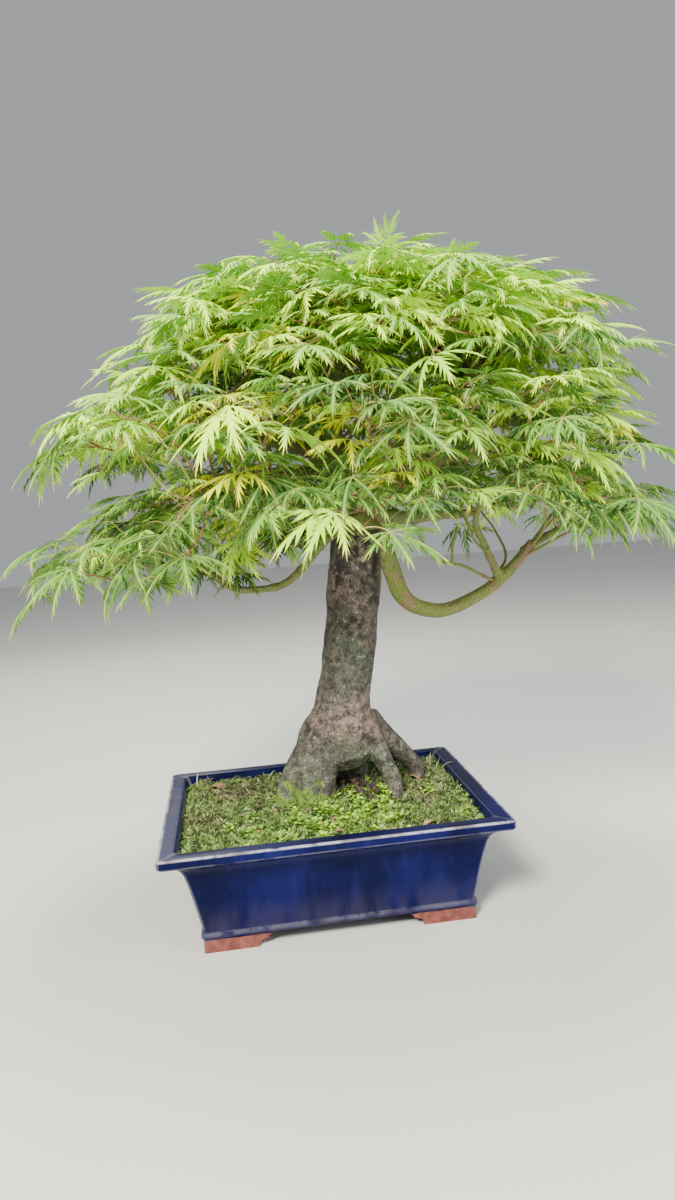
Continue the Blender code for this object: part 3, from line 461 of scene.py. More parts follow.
# Old bark: from this radius up, over so much more; on the trunk below these limits; all of it when low
OLD_RADIUS = (0.0125, 0.010)
OLD_TRUNK_TOP = 0.415
OLD_TRUNK_LEFT = 0.020
OLD_TRUNK_RIGHT = (0.084, 0.008)
OLD_ALL_BELOW = 0.30
# Bands of bark colour up the trunk as (strength, height, reach), with what is added to each everywhere
PINK_BANDS = ((0.80, 0.212, 0.036), (0.60, 0.375, 0.055))
PINK_BASE = -0.15
PINK_NOISE = (30, 1.1)
PINK_SHIFT = (9, 2, 4)
ALGAE_BANDS = ((0.80, 0.272, 0.036), (0.70, 0.145, 0.030))
ALGAE_BASE = 0.05
ALGAE_NOISE = (26, 0.8)
DARK_BANDS = ((0.45, 0.390, 0.070),)
DARK_BASE = -0.25
DARK_NOISE = (40, 1.5)
DARK_SHIFT = (1, 8, 3)
MOST_DARK = 0.70
# The bark darkens from this height, over so much more, up to this strength, towards the trunk's top under
# the crown
DARK_TOP = (0.355, 0.045, 0.90)
# Moss that creeps up the left root: height, reach, its noise, where it starts and how strong it gets
CREEP_HEIGHT = (0.134, 0.012)
CREEP_NOISE = (70, 2.2)
CREEP_RIGHT = 0.012
CREEP_START = 0.4
MOST_CREEP = 0.8
# Knots on thin branches
BRANCH_KNOT_PITCH = 0.036
KNOT_REACH = 0.0035
KNOT_SWELL = 0.20
BRANCH_SWELL = (90, 0.10)
BRANCH_DRIFT = (45, 0.0012)
BRANCH_DRIFT_SHIFT = (5, 0, 0)
BRANCH_GREEN = (0.2, 0.8)
BRANCH_PINK = 0.3
BRANCH_AGE = 0.15

# Rings of shoot tips as (height, centre x, half width, half depth, count, sideways sag, tilt, droop)
TIERS = (
    (0.43, 0.056, 0.306, 0.214, 12, 0.022, 0.011, 27.0),
    (0.504, 0.056, 0.29, 0.216, 12, 0.0, -0.01, 23.0), (0.576, 0.082, 0.238, 0.184, 10, 0.0, 0.0, 20.0),
    (0.628, 0.09, 0.204, 0.142, 9, 0.0, -0.006, 13.0), (0.659, 0.09, 0.138, 0.086, 6, 0.0, -0.01, 8.0),
)
TIER_PHASE = 0.733
TIER_STAGGER = 0.5
SAG_POWER = 1.5
TOP_SHOOT_TIP = (0.110, -0.004, 0.722)
TOP_SHOOT_DROOP = -74.0
TOP_SHOOT_LEAF_SCALE = 0.44
TOP_SHOOT_LEAVES = 3
# Shoots inside the rings of tips, as (tip x, y, z, droop, leaf count)
INNER_SHOOTS = (
    (0.032, -0.006, 0.668, 12.0, 3), (0.136, -0.034, 0.64, 14.0, 2), (-0.022, -0.036, 0.564, 20.0, 2),
)
INNER_AXIS_X = 0.074
CROWN_AXIS_Y = 0.010
CROWN_FLATNESS = 0.8
SITE_JITTER = 0.012
JITTER_GROWTH = 12
SEAT_INWARD = (0.02, 0.06)
SEAT_DROP = 0.1
SEED = 45
SITE_TRIES = 60
LEAF_TRIES = 90
# Further rings of shoots inside each tier: share of its width, share of the gap to the next tier, share of
# its count, turn, droop taken off, and whether the leaves are cut as finely as the outer ones
FILL_RINGS = (
    (1.00, 0.12, 1.35, 0.50, 8.0, True),
    (0.90, 0.36, 1.60, 0.05, 10.0, True),
    (0.79, 0.55, 1.50, 0.40, 12.0, True),
    (0.67, 0.62, 1.20, 0.75, 16.0, True),
    (0.53, 0.60, 0.75, 0.15, 20.0, False),
    (0.38, 0.55, 0.55, 0.60, 24.0, False),
    (0.22, 0.50, 0.30, 0.30, 28.0, False),
)
TOP_TIER_GAP = 0.004
LEAST_FILL_DROOP = 4.0
# Low shoots near the trunk, as the places of their tips
LOW_FILL = (
    (-0.124, -0.036, 0.404), (-0.08, -0.05, 0.406), (-0.104, 0.032, 0.398), (-0.05, 0.04, 0.402),
    (-0.008, 0.012, 0.41),
)
LOW_FILL_DROOP = 28.0
LOW_FILL_LEAVES = 4
FILL_LEAVES = (6, 5, 5)
FILL_LEAF_TRIES = 8
FILL_SITE_TRIES = 4
FILL_SCALE = (0.62, 1.00)
FILL_LOOSENESS = 1.3
FILL_SEED = 11

# Young shoots and leaves
GAP = 0.0003
SHOOT_RADIUS = (0.0022, 0.0019)
SHOOT_SIDES = 3
SHOOT_STEPS = 3
SHOOT_END_CLIMB = -0.15
SHOOT_HANDLES = (0.35, 0.30)
SHOOT_FOOT = 0.004
LEAVES_ON_SHOOT = (3, 2, 2)
LEAF_LENGTH = (0.060, 0.076)
PETIOLE_LENGTH = (0.024, 0.040)
PETIOLE_RADIUS = 0.0008
LEAF_NODE_PITCH = 0.0042
BACK_LEAF_PLACES = (0.2, 0.6)
# Angles of a leaf in degrees: the fan on a shoot, then how far each draw may stray
LEAF_FAN = (34, 40, 78, 84)
TURN_SPREAD = 16
FALL_SPREAD = (-14, 18)
FACE_SPREAD = 14
ROLL_SPREAD = 16
CLIMB_SPREAD = 70
CLIMB_LIMITS = (-22, 78)
LEAST_TOP_CLIMB = -12
MOST_PETIOLE_BEND = 56.0
HUB_HALF_THICKNESS = 0.0011
HUB_HALF_WIDTH = 0.0011
RIB_HALF_THICKNESS = 0.00055
LEAF_BEND = 0.90
SINUS_RADIUS = 0.15
RIB_POINT = 0.35
# Lobes from the right side of the leaf to the left: angle, length, and the kind of cut edge
LOBES = (
    (-118.0, 0.44, "basal_right"), (-74.0, 0.8, "lower_right"), (-36.0, 0.95, "full"),
    (0.0, 1.0, "full"), (36.0, 0.95, "full"), (74.0, 0.8, "lower_left"), (118.0, 0.44, "basal_left"),
)
# Edge points of a lobe as shares of its length: along it, and across it to the left
RIGHT_TOOTH = ((0.50, -0.165), (0.44, -0.062))
LEFT_TOOTH = ((0.56, 0.062), (0.67, 0.165))
BASAL_TOOTH = (0.46, 0.170)

# Fine leaves: teeth on each side of a lobe by its kind, for outer and for inner leaves
FINE_TEETH = {"full": 5, "lower_right": 4, "lower_left": 4, "basal_right": 3, "basal_left": 3}
INNER_TEETH = {"full": 4, "lower_right": 3, "lower_left": 3, "basal_right": 2, "basal_left": 2}
# Shape of the cut edge, as shares of a lobe's length
FINE_HUB = 0.03
FINE_SINUS = 0.06
FIRST_TEETH = (0.29, 0.24)
LAST_TOOTH = 0.93
TOOTH_REACH = (0.158, 0.034)
TOOTH_REACH_POWER = 1.4
TOOTH_REACH_SPREAD = (0.72, 1.20)
TOOTH_PLACE_SPREAD = (0.75, 0.95)
TOOTH_SWEEP = 0.22
BODY_WIDTH = (0.017, 0.009)
LEAF_PATTERNS = 4
NECK = ((0.08, 0.012), (0.17, 0.026))
# Draws for each lobe of a leaf: size, turn in degrees, lift, curl, twist and sway; and the leaf's fold
LOBE_SIZE = (0.86, 1.08)
LOBE_TURN = (-6, 6)
LOBE_LIFT = (0.0, 0.24)
LOBE_CURL = (0.55, 1.20)
LOBE_TWIST = (-0.9, 0.9)
LOBE_SWAY = (-0.12, 0.12)
LEAF_FOLD = (0.05, 0.50)
RIB_REACH = 0.08
# How yellow leaves are and how lit they are painted: few are quite yellow, most of them near one spot at the
# crown's upper front left, where the yellow is partly painted light; some are painted dark as shaded leaves,
# most of them low
YELLOW_LEAF_SHARE = 0.03
YELLOW_SPOT = (-0.060, -0.100, 0.560)
YELLOW_SPOT_REACH = 0.085
YELLOW_SPOT_SHARE = 0.35
YELLOW_TINT = (0.90, 1.0)
SHADED_LEAF_SHARE = (0.60, 2.6)
SHADED_LEAF_TINT = (0.0, 0.22)
CROWN_HEIGHTS = (0.42, 0.30)
CROWN_MIDDLE_X = 0.06
CROWN_REACH = 0.34
LEAF_LIGHT_TINT = (0.08, 0.38, 0.26)
LEAF_TINT_SPREAD = (-0.32, 0.42)
LEAST_LIT_TINT = 0.45
MOST_TINT = 0.85
# Fine shoots and leaf stalks
FINE_SHOOT_RADIUS = (SHOOT_RADIUS[0] * 0.68, SHOOT_RADIUS[1] * 0.40)
FINE_SHOOT_SIDES = 6
FINE_SHOOT_STEPS = 10
FINE_SHOOT_SUNK = 0.003
FINE_SHOOT_TINT = (0.0, 0.6)
FINE_PETIOLE = (0.00062, 0.00048)
FINE_PETIOLE_STEPS = 5
FINE_PETIOLE_SIDES = 4
FINE_PETIOLE_TINT = (0.1, 1.0)
PETIOLE_LIFT = 0.16
PETIOLE_END_LIFT = 0.6
PETIOLE_HANDLES = (0.35, 0.22)

# Colours as linear red, green and blue; pairs run from dark to pale
NAVY = ((0.0022, 0.0026, 0.029), (0.0056, 0.0064, 0.068))
NAVY_RUNS = (0.018, 0.021, 0.125)
NAVY_LOW = (0.036, 0.030, 0.060)
# Painted shade on the lip's top face
NAVY_LIP_PAINTED_SHADE = (0.0016, 0.0020, 0.018)
# Pale painted highlight and thin brownish rubbed glaze, which noise mixes wherever the glaze is rubbed
WORN_GLAZE_AND_HIGHLIGHT = ((0.480, 0.480, 0.600), (0.240, 0.200, 0.240))
GLAZE_SPECKS = (0.12, 0.12, 0.20)
GLAZE_SHEEN = (0.55, 0.66, 1.0, 1.0)
GLAZE_ROUGHNESS = ((0.16,) * 3, (0.30,) * 3)
CLAY = ((0.150, 0.046, 0.040), (0.235, 0.084, 0.070))
CLAY_ROUGHNESS = (0.85,) * 3
SOIL = ((0.060, 0.038, 0.024), (0.014, 0.009, 0.006))
SOIL_GRIT = (0.16, 0.115, 0.075)
SCREEN = ((0.012, 0.012, 0.013), (0.035, 0.034, 0.032))
MOSS_GREEN = ((0.028, 0.062, 0.012), (0.208, 0.340, 0.076))
MOSS_GREEN_TIPS = (0.520, 0.600, 0.290)
MOSS_LIME = ((0.026, 0.078, 0.010), (0.330, 0.580, 0.080))
MOSS_LIME_TIPS = (0.700, 0.850, 0.300)
MOSS_BROWN = ((0.026, 0.016, 0.011), (0.176, 0.132, 0.085))
MOSS_BROWN_TIPS = (0.450, 0.410, 0.300)
# Painted shade down in the moss's gaps, at the tufts' feet and on the mat's sides
MOSS_PAINTED_SHADE = (0.016, 0.018, 0.009)
BARK_GREY = ((0.036, 0.030, 0.030), (0.152, 0.133, 0.127))
BARK_ALGAE = ((0.037, 0.042, 0.030), (0.153, 0.166, 0.122))
BARK_PINK = ((0.082, 0.050, 0.044), (0.292, 0.208, 0.183))
BARK_DARK = (0.028, 0.024, 0.022)
BARK_SPECKS = (0.48, 0.43, 0.37)
BARK_CREEP = ((0.040, 0.070, 0.012), (0.220, 0.330, 0.070))
LIMB = ((0.170, 0.212, 0.045), (0.250, 0.155, 0.095))
LIMB_ALGAE = (0.215, 0.240, 0.070)
LIMB_PALE = (0.40, 0.36, 0.22)
LIMB_DARK = (0.085, 0.065, 0.035)
# Leaf tint colours: painted shade at the dark green end, then mid green, then lit yellow-green
LEAF_SHADE_TO_GREEN = ((0.034, 0.098, 0.026), (0.185, 0.420, 0.055))
LEAF_LIT = (0.560, 0.880, 0.020)
LEAF_MOTTLE = (0.500, 0.780, 0.090)
# Pale tips, brightened as a painted highlight
LEAF_TIPS_AND_HIGHLIGHT = (0.900, 0.990, 0.180)
LEAF_YELLOW = (0.660, 0.620, 0.006)
LEAF_PINK = (0.700, 0.380, 0.240)
LEAF_RIBS = (0.680, 0.760, 0.200)
LEAF_STEMS = ((0.280, 0.150, 0.085), (0.520, 0.500, 0.160))
SEEDLING_GREEN = ((0.050, 0.160, 0.012), (0.560, 0.840, 0.080))
WEED_GREEN = ((0.050, 0.080, 0.020), (0.460, 0.520, 0.250))
DRY_STALK = ((0.130, 0.100, 0.050), (0.560, 0.520, 0.330))
FALLEN_LEAF = ((0.130, 0.055, 0.025), (0.560, 0.300, 0.200))
STRAW = ((0.200, 0.240, 0.070), (0.600, 0.560, 0.360))
DARK_CRUMB = ((0.012, 0.008, 0.006), (0.070, 0.045, 0.030))
FLOOR = ((0.61, 0.61, 0.60), (0.66, 0.66, 0.65))
# Numbers of a colour mix node's sockets
MIX_FACTOR, MIX_FIRST, MIX_SECOND, MIX_RESULT = 0, 6, 7, 2

Site = namedtuple("Site", "tip axis_x droop leaf_count leaf_scale")
Leaf = namedtuple("Leaf", "root hub axis side normal length")
Spray = namedtuple("Spray", "path radii leaves")


class Look:
    """A procedural material, built up by short calls that each add a shader node."""

    def __init__(self, name):
        self.material = bpy.data.materials.new(name)
        self.material.use_nodes = True
        self.tree = self.material.node_tree
        self.shader = self.tree.nodes["Principled BSDF"]
        self.place = self.add("ShaderNodeTexCoord").outputs["Object"]

    def add(self, kind, **settings):
        """A new node, with its settings."""
        node = self.tree.nodes.new(kind)
        for key, value in settings.items():
            setattr(node, key, value)
        return node

    def feed(self, socket, value):
        """Sets a socket to a value, or links it to another node's socket."""
        if isinstance(value, bpy.types.NodeSocket):
            self.tree.links.new(value, socket)
        elif socket.type == "RGBA" and len(value) == 3:
            socket.default_value = (*value, 1.0)
        else:
            socket.default_value = value

    def stretched(self, stretch):
        """The place on the object, stretched along each axis."""
        node = self.add("ShaderNodeMapping")
        self.feed(node.inputs["Vector"], self.place)
        node.inputs["Scale"].default_value = stretch
        return node.outputs["Vector"]

    def noise(self, scale, detail, stretch=None, twist=0.0):
        """Soft noise from 0 to 1, with features about 1 / scale metres across."""
        node = self.add("ShaderNodeTexNoise")
        self.feed(node.inputs["Vector"], self.stretched(stretch) if stretch else self.place)
        node.inputs["Scale"].default_value = scale
        node.inputs["Detail"].default_value = detail
        node.inputs["Distortion"].default_value = twist
        return node.outputs["Fac"]

    def cells(self, scale):
        """Distance to the middle of the nearest cell."""
        node = self.add("ShaderNodeTexVoronoi")
        self.feed(node.inputs["Vector"], self.place)
        node.inputs["Scale"].default_value = scale
        return node.outputs["Distance"]

    def attribute(self, name):
        """The red, green, blue and alpha parts of a colour that is stored on the mesh."""
        stored = self.add("ShaderNodeAttribute", attribute_name=name)
        parts = self.add("ShaderNodeSeparateColor")
        self.feed(parts.inputs["Color"], stored.outputs["Color"])
        return (*parts.outputs, stored.outputs["Alpha"])

    def height(self):
        """Height above the floor."""
        node = self.add("ShaderNodeSeparateXYZ")
        self.feed(node.inputs["Vector"], self.place)
        return node.outputs["Z"]

    def fade(self, value, low, high):
        """0 below low and 1 above high, or the other way round if low is the greater."""
        node = self.add("ShaderNodeMapRange", interpolation_type="SMOOTHSTEP")
        self.feed(node.inputs["Value"], value)
        node.inputs["From Min"].default_value = low
        node.inputs["From Max"].default_value = high
        return node.outputs["Result"]

    def maths(self, operation, first, second):
        """The result of an operation on two values."""
        node = self.add("ShaderNodeMath", operation=operation, use_clamp=operation == "ADD")
        self.feed(node.inputs[0], first)
        self.feed(node.inputs[1], second)
        return node.outputs[0]

    def times(self, first, second):
        """The product of two values."""
        return self.maths("MULTIPLY", first, second)

    def plus(self, first, second):
        """The sum of two values, kept from 0 to 1."""
        return self.maths("ADD", first, second)

    def blend(self, factor, first, second):
        """The first colour where the factor is 0, the second where it is 1."""
        node = self.add("ShaderNodeMix", data_type="RGBA")
        self.feed(node.inputs[MIX_FACTOR], factor)
        self.feed(node.inputs[MIX_FIRST], first)
        self.feed(node.inputs[MIX_SECOND], second)
        return node.outputs[MIX_RESULT]

    def finish(self, colour, roughness, relief=None, depth=0.0, **values):
        """Links colour, roughness and relief to the shader, and sets its other inputs."""
        self.feed(self.shader.inputs["Base Color"], colour)
        self.feed(self.shader.inputs["Roughness"], roughness)
        for name, value in values.items():
            self.shader.inputs[name.replace("_", " ")].default_value = value
        if relief is not None:
            bump = self.add("ShaderNodeBump")
            bump.inputs["Distance"].default_value = depth
            self.feed(bump.inputs["Height"], relief)
            self.feed(self.shader.inputs["Normal"], bump.outputs["Normal"])
        return self.material


def glaze_look():
    """Dark navy glaze, thin and brownish on rubbed edges, with a painted pale highlight along the lip's top
    edge and painted shade on the lip's top face, and bare clay on the feet.
    """
    look = Look("navy_glaze")
    wear_and_highlight, _, _, _ = look.attribute("wear_and_highlight")
    clouds = look.noise(14, 4, twist=0.6)
    runs = look.noise(60, 3, stretch=(1.0, 1.0, 0.12))
    navy = look.blend(look.fade(clouds, 0.35, 0.68), *NAVY)
    navy = look.blend(look.times(look.fade(runs, 0.52, 0.75), 0.30), navy, NAVY_RUNS)
    low = look.times(look.fade(look.height(), 0.060, 0.018), look.fade(runs, 0.30, 0.60))
    navy = look.blend(look.times(low, 0.55), navy, NAVY_LOW)
    # Painted shade: the glaze is darkened at the top of the lip
    top = look.times(look.fade(look.height(), POT_HEIGHT, POT_HEIGHT + 0.0010), 0.75)
    navy = look.blend(top, navy, NAVY_LIP_PAINTED_SHADE)
    # Painted highlight and rubbed glaze, strongest on the lip's top edge, where it paints a pale highlight
    # line
    wear_and_highlight_mask = look.times(wear_and_highlight, look.fade(look.noise(90, 5), 0.28, 0.54))
    thin = look.blend(look.fade(look.noise(30, 3), 0.50, 0.66), *WORN_GLAZE_AND_HIGHLIGHT)
    glazed = look.blend(wear_and_highlight_mask, navy, thin)
    specks = look.fade(look.cells(260), 0.12, 0.05)
    glazed = look.blend(look.times(specks, 0.35), glazed, GLAZE_SPECKS)
    clay = look.blend(look.fade(look.noise(130, 5), 0.3, 0.7), *CLAY)
    edge = look.plus(look.height(), look.times(look.noise(90, 2), 0.0030))
    bare = look.fade(edge, FOOT_HEIGHT - 0.0004, FOOT_HEIGHT - 0.0014)
    colour = look.blend(bare, glazed, clay)
    smooth = look.blend(look.fade(clouds, 0.3, 0.7), *GLAZE_ROUGHNESS)
    rough = look.blend(bare, smooth, CLAY_ROUGHNESS)
    relief = look.plus(look.times(clouds, 0.7), look.times(look.noise(420, 3), 0.12))
    return look.finish(colour, rough, relief, 0.0012, Specular_IOR_Level=0.11, Specular_Tint=GLAZE_SHEEN)


def soil_look():
    """Damp crumbly potting mix."""
    look = Look("potting_mix")
    crumbs = look.cells(260)
    colour = look.blend(look.fade(crumbs, 0.1, 0.6), *SOIL)
    colour = look.blend(look.fade(look.noise(190, 3), 0.62, 0.72), colour, SOIL_GRIT)
    return look.finish(colour, 0.95, crumbs, 0.002)


def screen_look():
    """Black plastic mesh, dusty in its grain."""
    look = Look("black_mesh_plastic")
    grain = look.noise(900, 2)
    return look.finish(look.blend(grain, *SCREEN), 0.5, grain, 0.0001)


def moss_look():
    """Moss in bright and grey greens, with brown dry patches and painted shade in its gaps, at its tufts'
    feet and on the mat; the mesh holds each tuft's own tint and lift.
    """
    look = Look("living_moss")
    tint, dry, lift, fresh = look.attribute("moss")
    green = look.blend(look.fade(tint, 0.0, 0.75), *MOSS_GREEN)
    green = look.blend(look.fade(tint, 0.70, 1.0), green, MOSS_GREEN_TIPS)
    lime = look.blend(look.fade(tint, 0.0, 0.8), *MOSS_LIME)
    green = look.blend(fresh, green, look.blend(look.fade(tint, 0.75, 1.0), lime, MOSS_LIME_TIPS))
    brown = look.blend(look.fade(tint, 0.0, 0.7), *MOSS_BROWN)
    brown = look.blend(look.fade(tint, 0.65, 1.0), brown, MOSS_BROWN_TIPS)
    colour = look.blend(dry, green, brown)
    # Painted shade where the lift is low: in the gaps, at the tufts' feet and on the mat
    colour = look.blend(look.fade(lift, 0.55, 0.0), colour, MOSS_PAINTED_SHADE)
    return look.finish(colour, 0.85, look.noise(900, 3), 0.0006, Specular_IOR_Level=0.30)


def bark_look():
    """Rough grey bark with green algae, pinkish patches and pale specks; limbs are olive."""
    look = Look("maple_bark")
    thick, dark, patch, algae = look.attribute("bark")
    grain = look.noise(620, 6, stretch=(1.0, 1.0, 0.60), twist=0.2)
    flakes = look.noise(130, 6, twist=0.5)
    fine = look.fade(look.plus(look.times(grain, 0.55), look.times(flakes, 0.45)), 0.36, 0.66)
    old = look.blend(fine, *BARK_GREY)
    mossy = look.blend(fine, *BARK_ALGAE)
    old = look.blend(look.times(algae, look.fade(flakes, 0.30, 0.52)), old, mossy)
    bare = look.blend(fine, *BARK_PINK)
    old = look.blend(look.times(patch, look.fade(flakes, 0.34, 0.54)), old, bare)
    old = look.blend(look.times(dark, look.fade(flakes, 0.62, 0.42)), old, BARK_DARK)
    specks = look.times(look.fade(look.cells(300), 0.30, 0.14), look.fade(flakes, 0.53, 0.60))
    old = look.blend(specks, old, BARK_SPECKS)
    creep = look.fade(algae, 1.05, 1.45)
    old = look.blend(creep, old, look.blend(fine, *BARK_CREEP))
    young = look.blend(look.fade(look.noise(45, 4), 0.47, 0.64), *LIMB)
    young = look.blend(look.times(algae, 0.5), young, LIMB_ALGAE)
    young = look.blend(look.times(look.fade(grain, 0.50, 0.68), 0.55), young, LIMB_PALE)
    young = look.blend(look.times(look.fade(look.noise(120, 3), 0.60, 0.70), 0.6), young, LIMB_DARK)
    colour = look.blend(thick, young, old)
    relief = look.plus(look.times(grain, 0.55), look.times(look.noise(1100, 4), 0.20))
    return look.finish(colour, 0.88, relief, 0.0022, Specular_IOR_Level=0.25)


def leaf_look():
    """Yellow-green lace leaves: pale tips and ribs, pinkish stalks, a tint of its own for each leaf; the
    tint paints the leaf's light and shade, from shaded dark green to lit yellow-green, and the pale tips are
    strongest on lit leaves, as a painted highlight.
    """
    look = Look("maple_leaf")
    tint, along, rib, stalk = look.attribute("leaf")
    mottle = look.noise(160, 3)
    # Painted light and shade by the leaf's tint: shaded dark green, mid green, then lit yellow-green
    blade = look.blend(look.fade(tint, 0.0, 0.40), *LEAF_SHADE_TO_GREEN)
    blade = look.blend(look.fade(tint, 0.30, 0.80), blade, LEAF_LIT)
    blade = look.blend(look.times(look.fade(mottle, 0.45, 0.75), 0.22), blade, LEAF_MOTTLE)
    # Pale tips, partly the leaf's own colour and partly a painted highlight, strongest on lit leaves
    pale = look.times(look.fade(along, 0.66, 1.0), look.fade(tint, -0.20, 0.60))
    blade = look.blend(look.times(pale, 0.60), blade, LEAF_TIPS_AND_HIGHLIGHT)
    blade = look.blend(look.times(look.fade(tint, 0.86, 0.95), 0.85), blade, LEAF_YELLOW)
    pink = look.times(look.fade(along, 0.86, 1.0), look.fade(mottle, 0.50, 0.60))
    blade = look.blend(look.times(pink, 0.5), blade, LEAF_PINK)
    blade = look.blend(look.times(look.fade(rib, 0.30, 0.05), 0.30), blade, LEAF_RIBS)
    stem = look.blend(look.fade(tint, 0.25, 0.75), *LEAF_STEMS)
    return look.finish(look.blend(stalk, blade, stem), 0.65, mottle, 0.0003, Specular_IOR_Level=0.07)


def litter_look(name, dark, pale):
    """Dry or fresh small leaves and crumbs between two colours, with each piece's own tint."""
    look = Look(name)
    tint, _, _, _ = look.attribute("leaf")
    colour = look.blend(tint, dark, pale)
    colour = look.blend(look.times(look.fade(look.noise(300, 3), 0.4, 0.7), 0.4), colour, dark)
    return look.finish(colour, 0.7, look.noise(500, 3), 0.0004)


def floor_look():
    """A plain pale floor."""
    look = Look("pale_floor")
    return look.finish(look.blend(look.noise(3, 2), *FLOOR), 0.8)


def add_piece(name, points, faces, look, replaced, smooth, colours):
    """A piece of the visual model, moved to the pot's place and riding on the tree's body."""
    mesh = bpy.data.meshes.new(name)
    placed = np.asarray(points, dtype=float) + np.array(POT_MIDDLE)
    mesh.from_pydata(placed.tolist(), [], [tuple(face) for face in faces])
    mesh.materials.append(look)
    store_colours(mesh, *colours)
    mesh.shade_smooth()
    mesh.set_sharp_from_angle(angle=math.radians(smooth))
    piece = bpy.data.objects.new(name, mesh)
    bpy.context.scene.collection.objects.link(piece)
    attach(piece, "root")
    if replaced:
        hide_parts(*replaced)


def store_colours(mesh, name, values):
    """Keeps a red, green, blue and alpha value for each point of a mesh."""
    stored = mesh.attributes.new(name, "FLOAT_COLOR", "POINT")
    stored.data.foreach_set("color", np.asarray(values, dtype=np.float32).ravel())


def unpacked(mesh):
    """Points and faces of a mesh, which is then removed."""
    points = [vertex.co.copy() for vertex in mesh.vertices]
    faces = [tuple(polygon.vertices) for polygon in mesh.polygons]
    bpy.data.meshes.remove(mesh)
    return points, faces


def joined(shapes):
    """Several (points, faces) as one."""
    points = []
    faces = []
    for shape_points, shape_faces in shapes:
        start = len(points)
        points.extend(shape_points)
        faces.extend(tuple(start + number for number in face) for face in shape_faces)
    return points, faces


def helper(name, shape):
    """A loose object for a modifier to work on, to be removed afterwards."""
    mesh = bpy.data.meshes.new(name)
    mesh.from_pydata([tuple(point) for point in shape[0]], [], shape[1])
    mesh.validate()
    made = bpy.data.objects.new(name, mesh)
    bpy.context.scene.collection.objects.link(made)
    return made


def evaluated(base):
    """The base's mesh with its modifiers applied, as a new mesh; the base is removed."""
    bpy.context.view_layer.update()
    mesh = bpy.data.meshes.new_from_object(base.evaluated_get(bpy.context.evaluated_depsgraph_get()))
    bpy.data.objects.remove(base, do_unlink=True)
    return mesh


def combined(shape, others, operation):
    """The shape joined to, or cut by, every other shape."""
    base = helper("base", shape)
    group = bpy.data.collections.new("operands")
    for other in others:
        made = helper("operand", other)
        bpy.context.scene.collection.objects.unlink(made)
        group.objects.link(made)
    modifier = base.modifiers.new("combine", "BOOLEAN")
    modifier.operation = operation
    modifier.operand_type = "COLLECTION"
    modifier.collection = group
    modifier.solver = "EXACT"
    bpy.context.scene.collection.children.link(group)
    result = unpacked(evaluated(base))
    for made in list(group.objects):
        bpy.data.objects.remove(made, do_unlink=True)
    bpy.data.collections.remove(group)
    return result


def loft(rings):
    """A closed shape through rings of equal count, with a flat cap on its first and last ring."""
    count = len(rings[0])
    points = [point for ring in rings for point in ring]
    faces = [tuple(reversed(range(count)))]
    for level in range(len(rings) - 1):
        low = level * count
        high = low + count
        for step in range(count):
            after = (step + 1) % count
            faces.append((low + step, low + after, high + after, high + step))
    last = (len(rings) - 1) * count
    faces.append(tuple(range(last, last + count)))
    return points, faces


def clamped(value, low=0.0, high=1.0):
    """A value kept between two limits."""
    return min(max(value, low), high)


def tapered(first, last, spans):
    """Evenly changing values from the first to the last."""
    return [first + (last - first) * step / spans for step in range(spans + 1)]


def around(count):
    """Angles of so many even steps round a circle."""
    return [math.tau * step / count for step in range(count)]


def vectors(rows):
    """Rows of numbers as vectors."""
    return [Vector(row) for row in rows]


def curve(handles, steps):
    """Points of the curve that its two ends and the two handles between them give."""
    path = []
    for step in range(steps + 1):
        t = step / steps
        weights = ((1 - t) ** 3, 3 * t * (1 - t) ** 2, 3 * t * t * (1 - t), t**3)
        path.append(sum((weight * handle for weight, handle in zip(weights, handles)), Vector()))
    return path


def smooth_path(rows, step):
    """Points and shares along a smooth curve through the rows, about one step apart."""
    ends = [rows[0] * 2 - rows[1]] + list(rows) + [rows[-1] * 2 - rows[-2]]
    path = [rows[0]]
    for place in range(1, len(ends) - 2):
        before, start, end, after = ends[place - 1 : place + 3]
        pieces = max(1, round((end - start).length / step))
        for piece in range(1, pieces + 1):
            t = piece / pieces
            point = 2 * start + (end - before) * t
            point += (2 * before - 5 * start + 4 * end - after) * t**2
            point += (3 * start - before - 3 * end + after) * t**3
            path.append(point / 2)
    return path


def tube(path, radii, sides):
    """A closed tube along a path, its rings kept from twisting."""
    rings = []
    normal = Vector(TUBE_GUIDE)
    for place, point in enumerate(path):
        before = path[max(place - 1, 0)]
        after = path[min(place + 1, len(path) - 1)]
        along = (after - before).normalized()
        normal = (normal - along * normal.dot(along)).normalized()
        side = along.cross(normal)
        spokes = [math.cos(turn) * normal + math.sin(turn) * side for turn in around(sides)]
        rings.append([point + radii[place] * spoke for spoke in spokes])
    return loft(rings)


def branch_parts(name, spacing=BRANCH_STEP):
    """Path, radii and sides of a named branch."""
    (first, last), *rows = BRANCHES[name]
    path = smooth_path(vectors(rows), spacing)
    spans = len(path) - 1
    radii = [first + (last - first) * (step / spans) ** BRANCH_TAPER_POWER for step in range(spans + 1)]
    return path, radii, BRANCH_SIDES if first > THICK_BRANCH else TWIG_SIDES


def root_parts(name):
    """Path, radii and sides of a named root, with a plumb foot."""
    sides, *rows = ROOTS[name]
    path = [Vector(row[:3]) for row in rows]
    radii = [row[3] for row in rows]
    path.insert(-1, path[-2] - Vector((0, 0, ROOT_BEND_DROP)))
    radii.insert(-1, radii[-1])
    return path, radii, sides


def plain_wood():
    """Points and faces of the solid model's wood, which the shoots are seated on."""
    trunk = tube([Vector(row[:3]) for row in TRUNK], [row[3] for row in TRUNK], TRUNK_SIDES)
    others = [tube(*root_parts(name)) for name in ROOTS]
    others += [tube(*branch_parts(name)) for name in BRANCHES]
    return combined(trunk, others, "UNION")


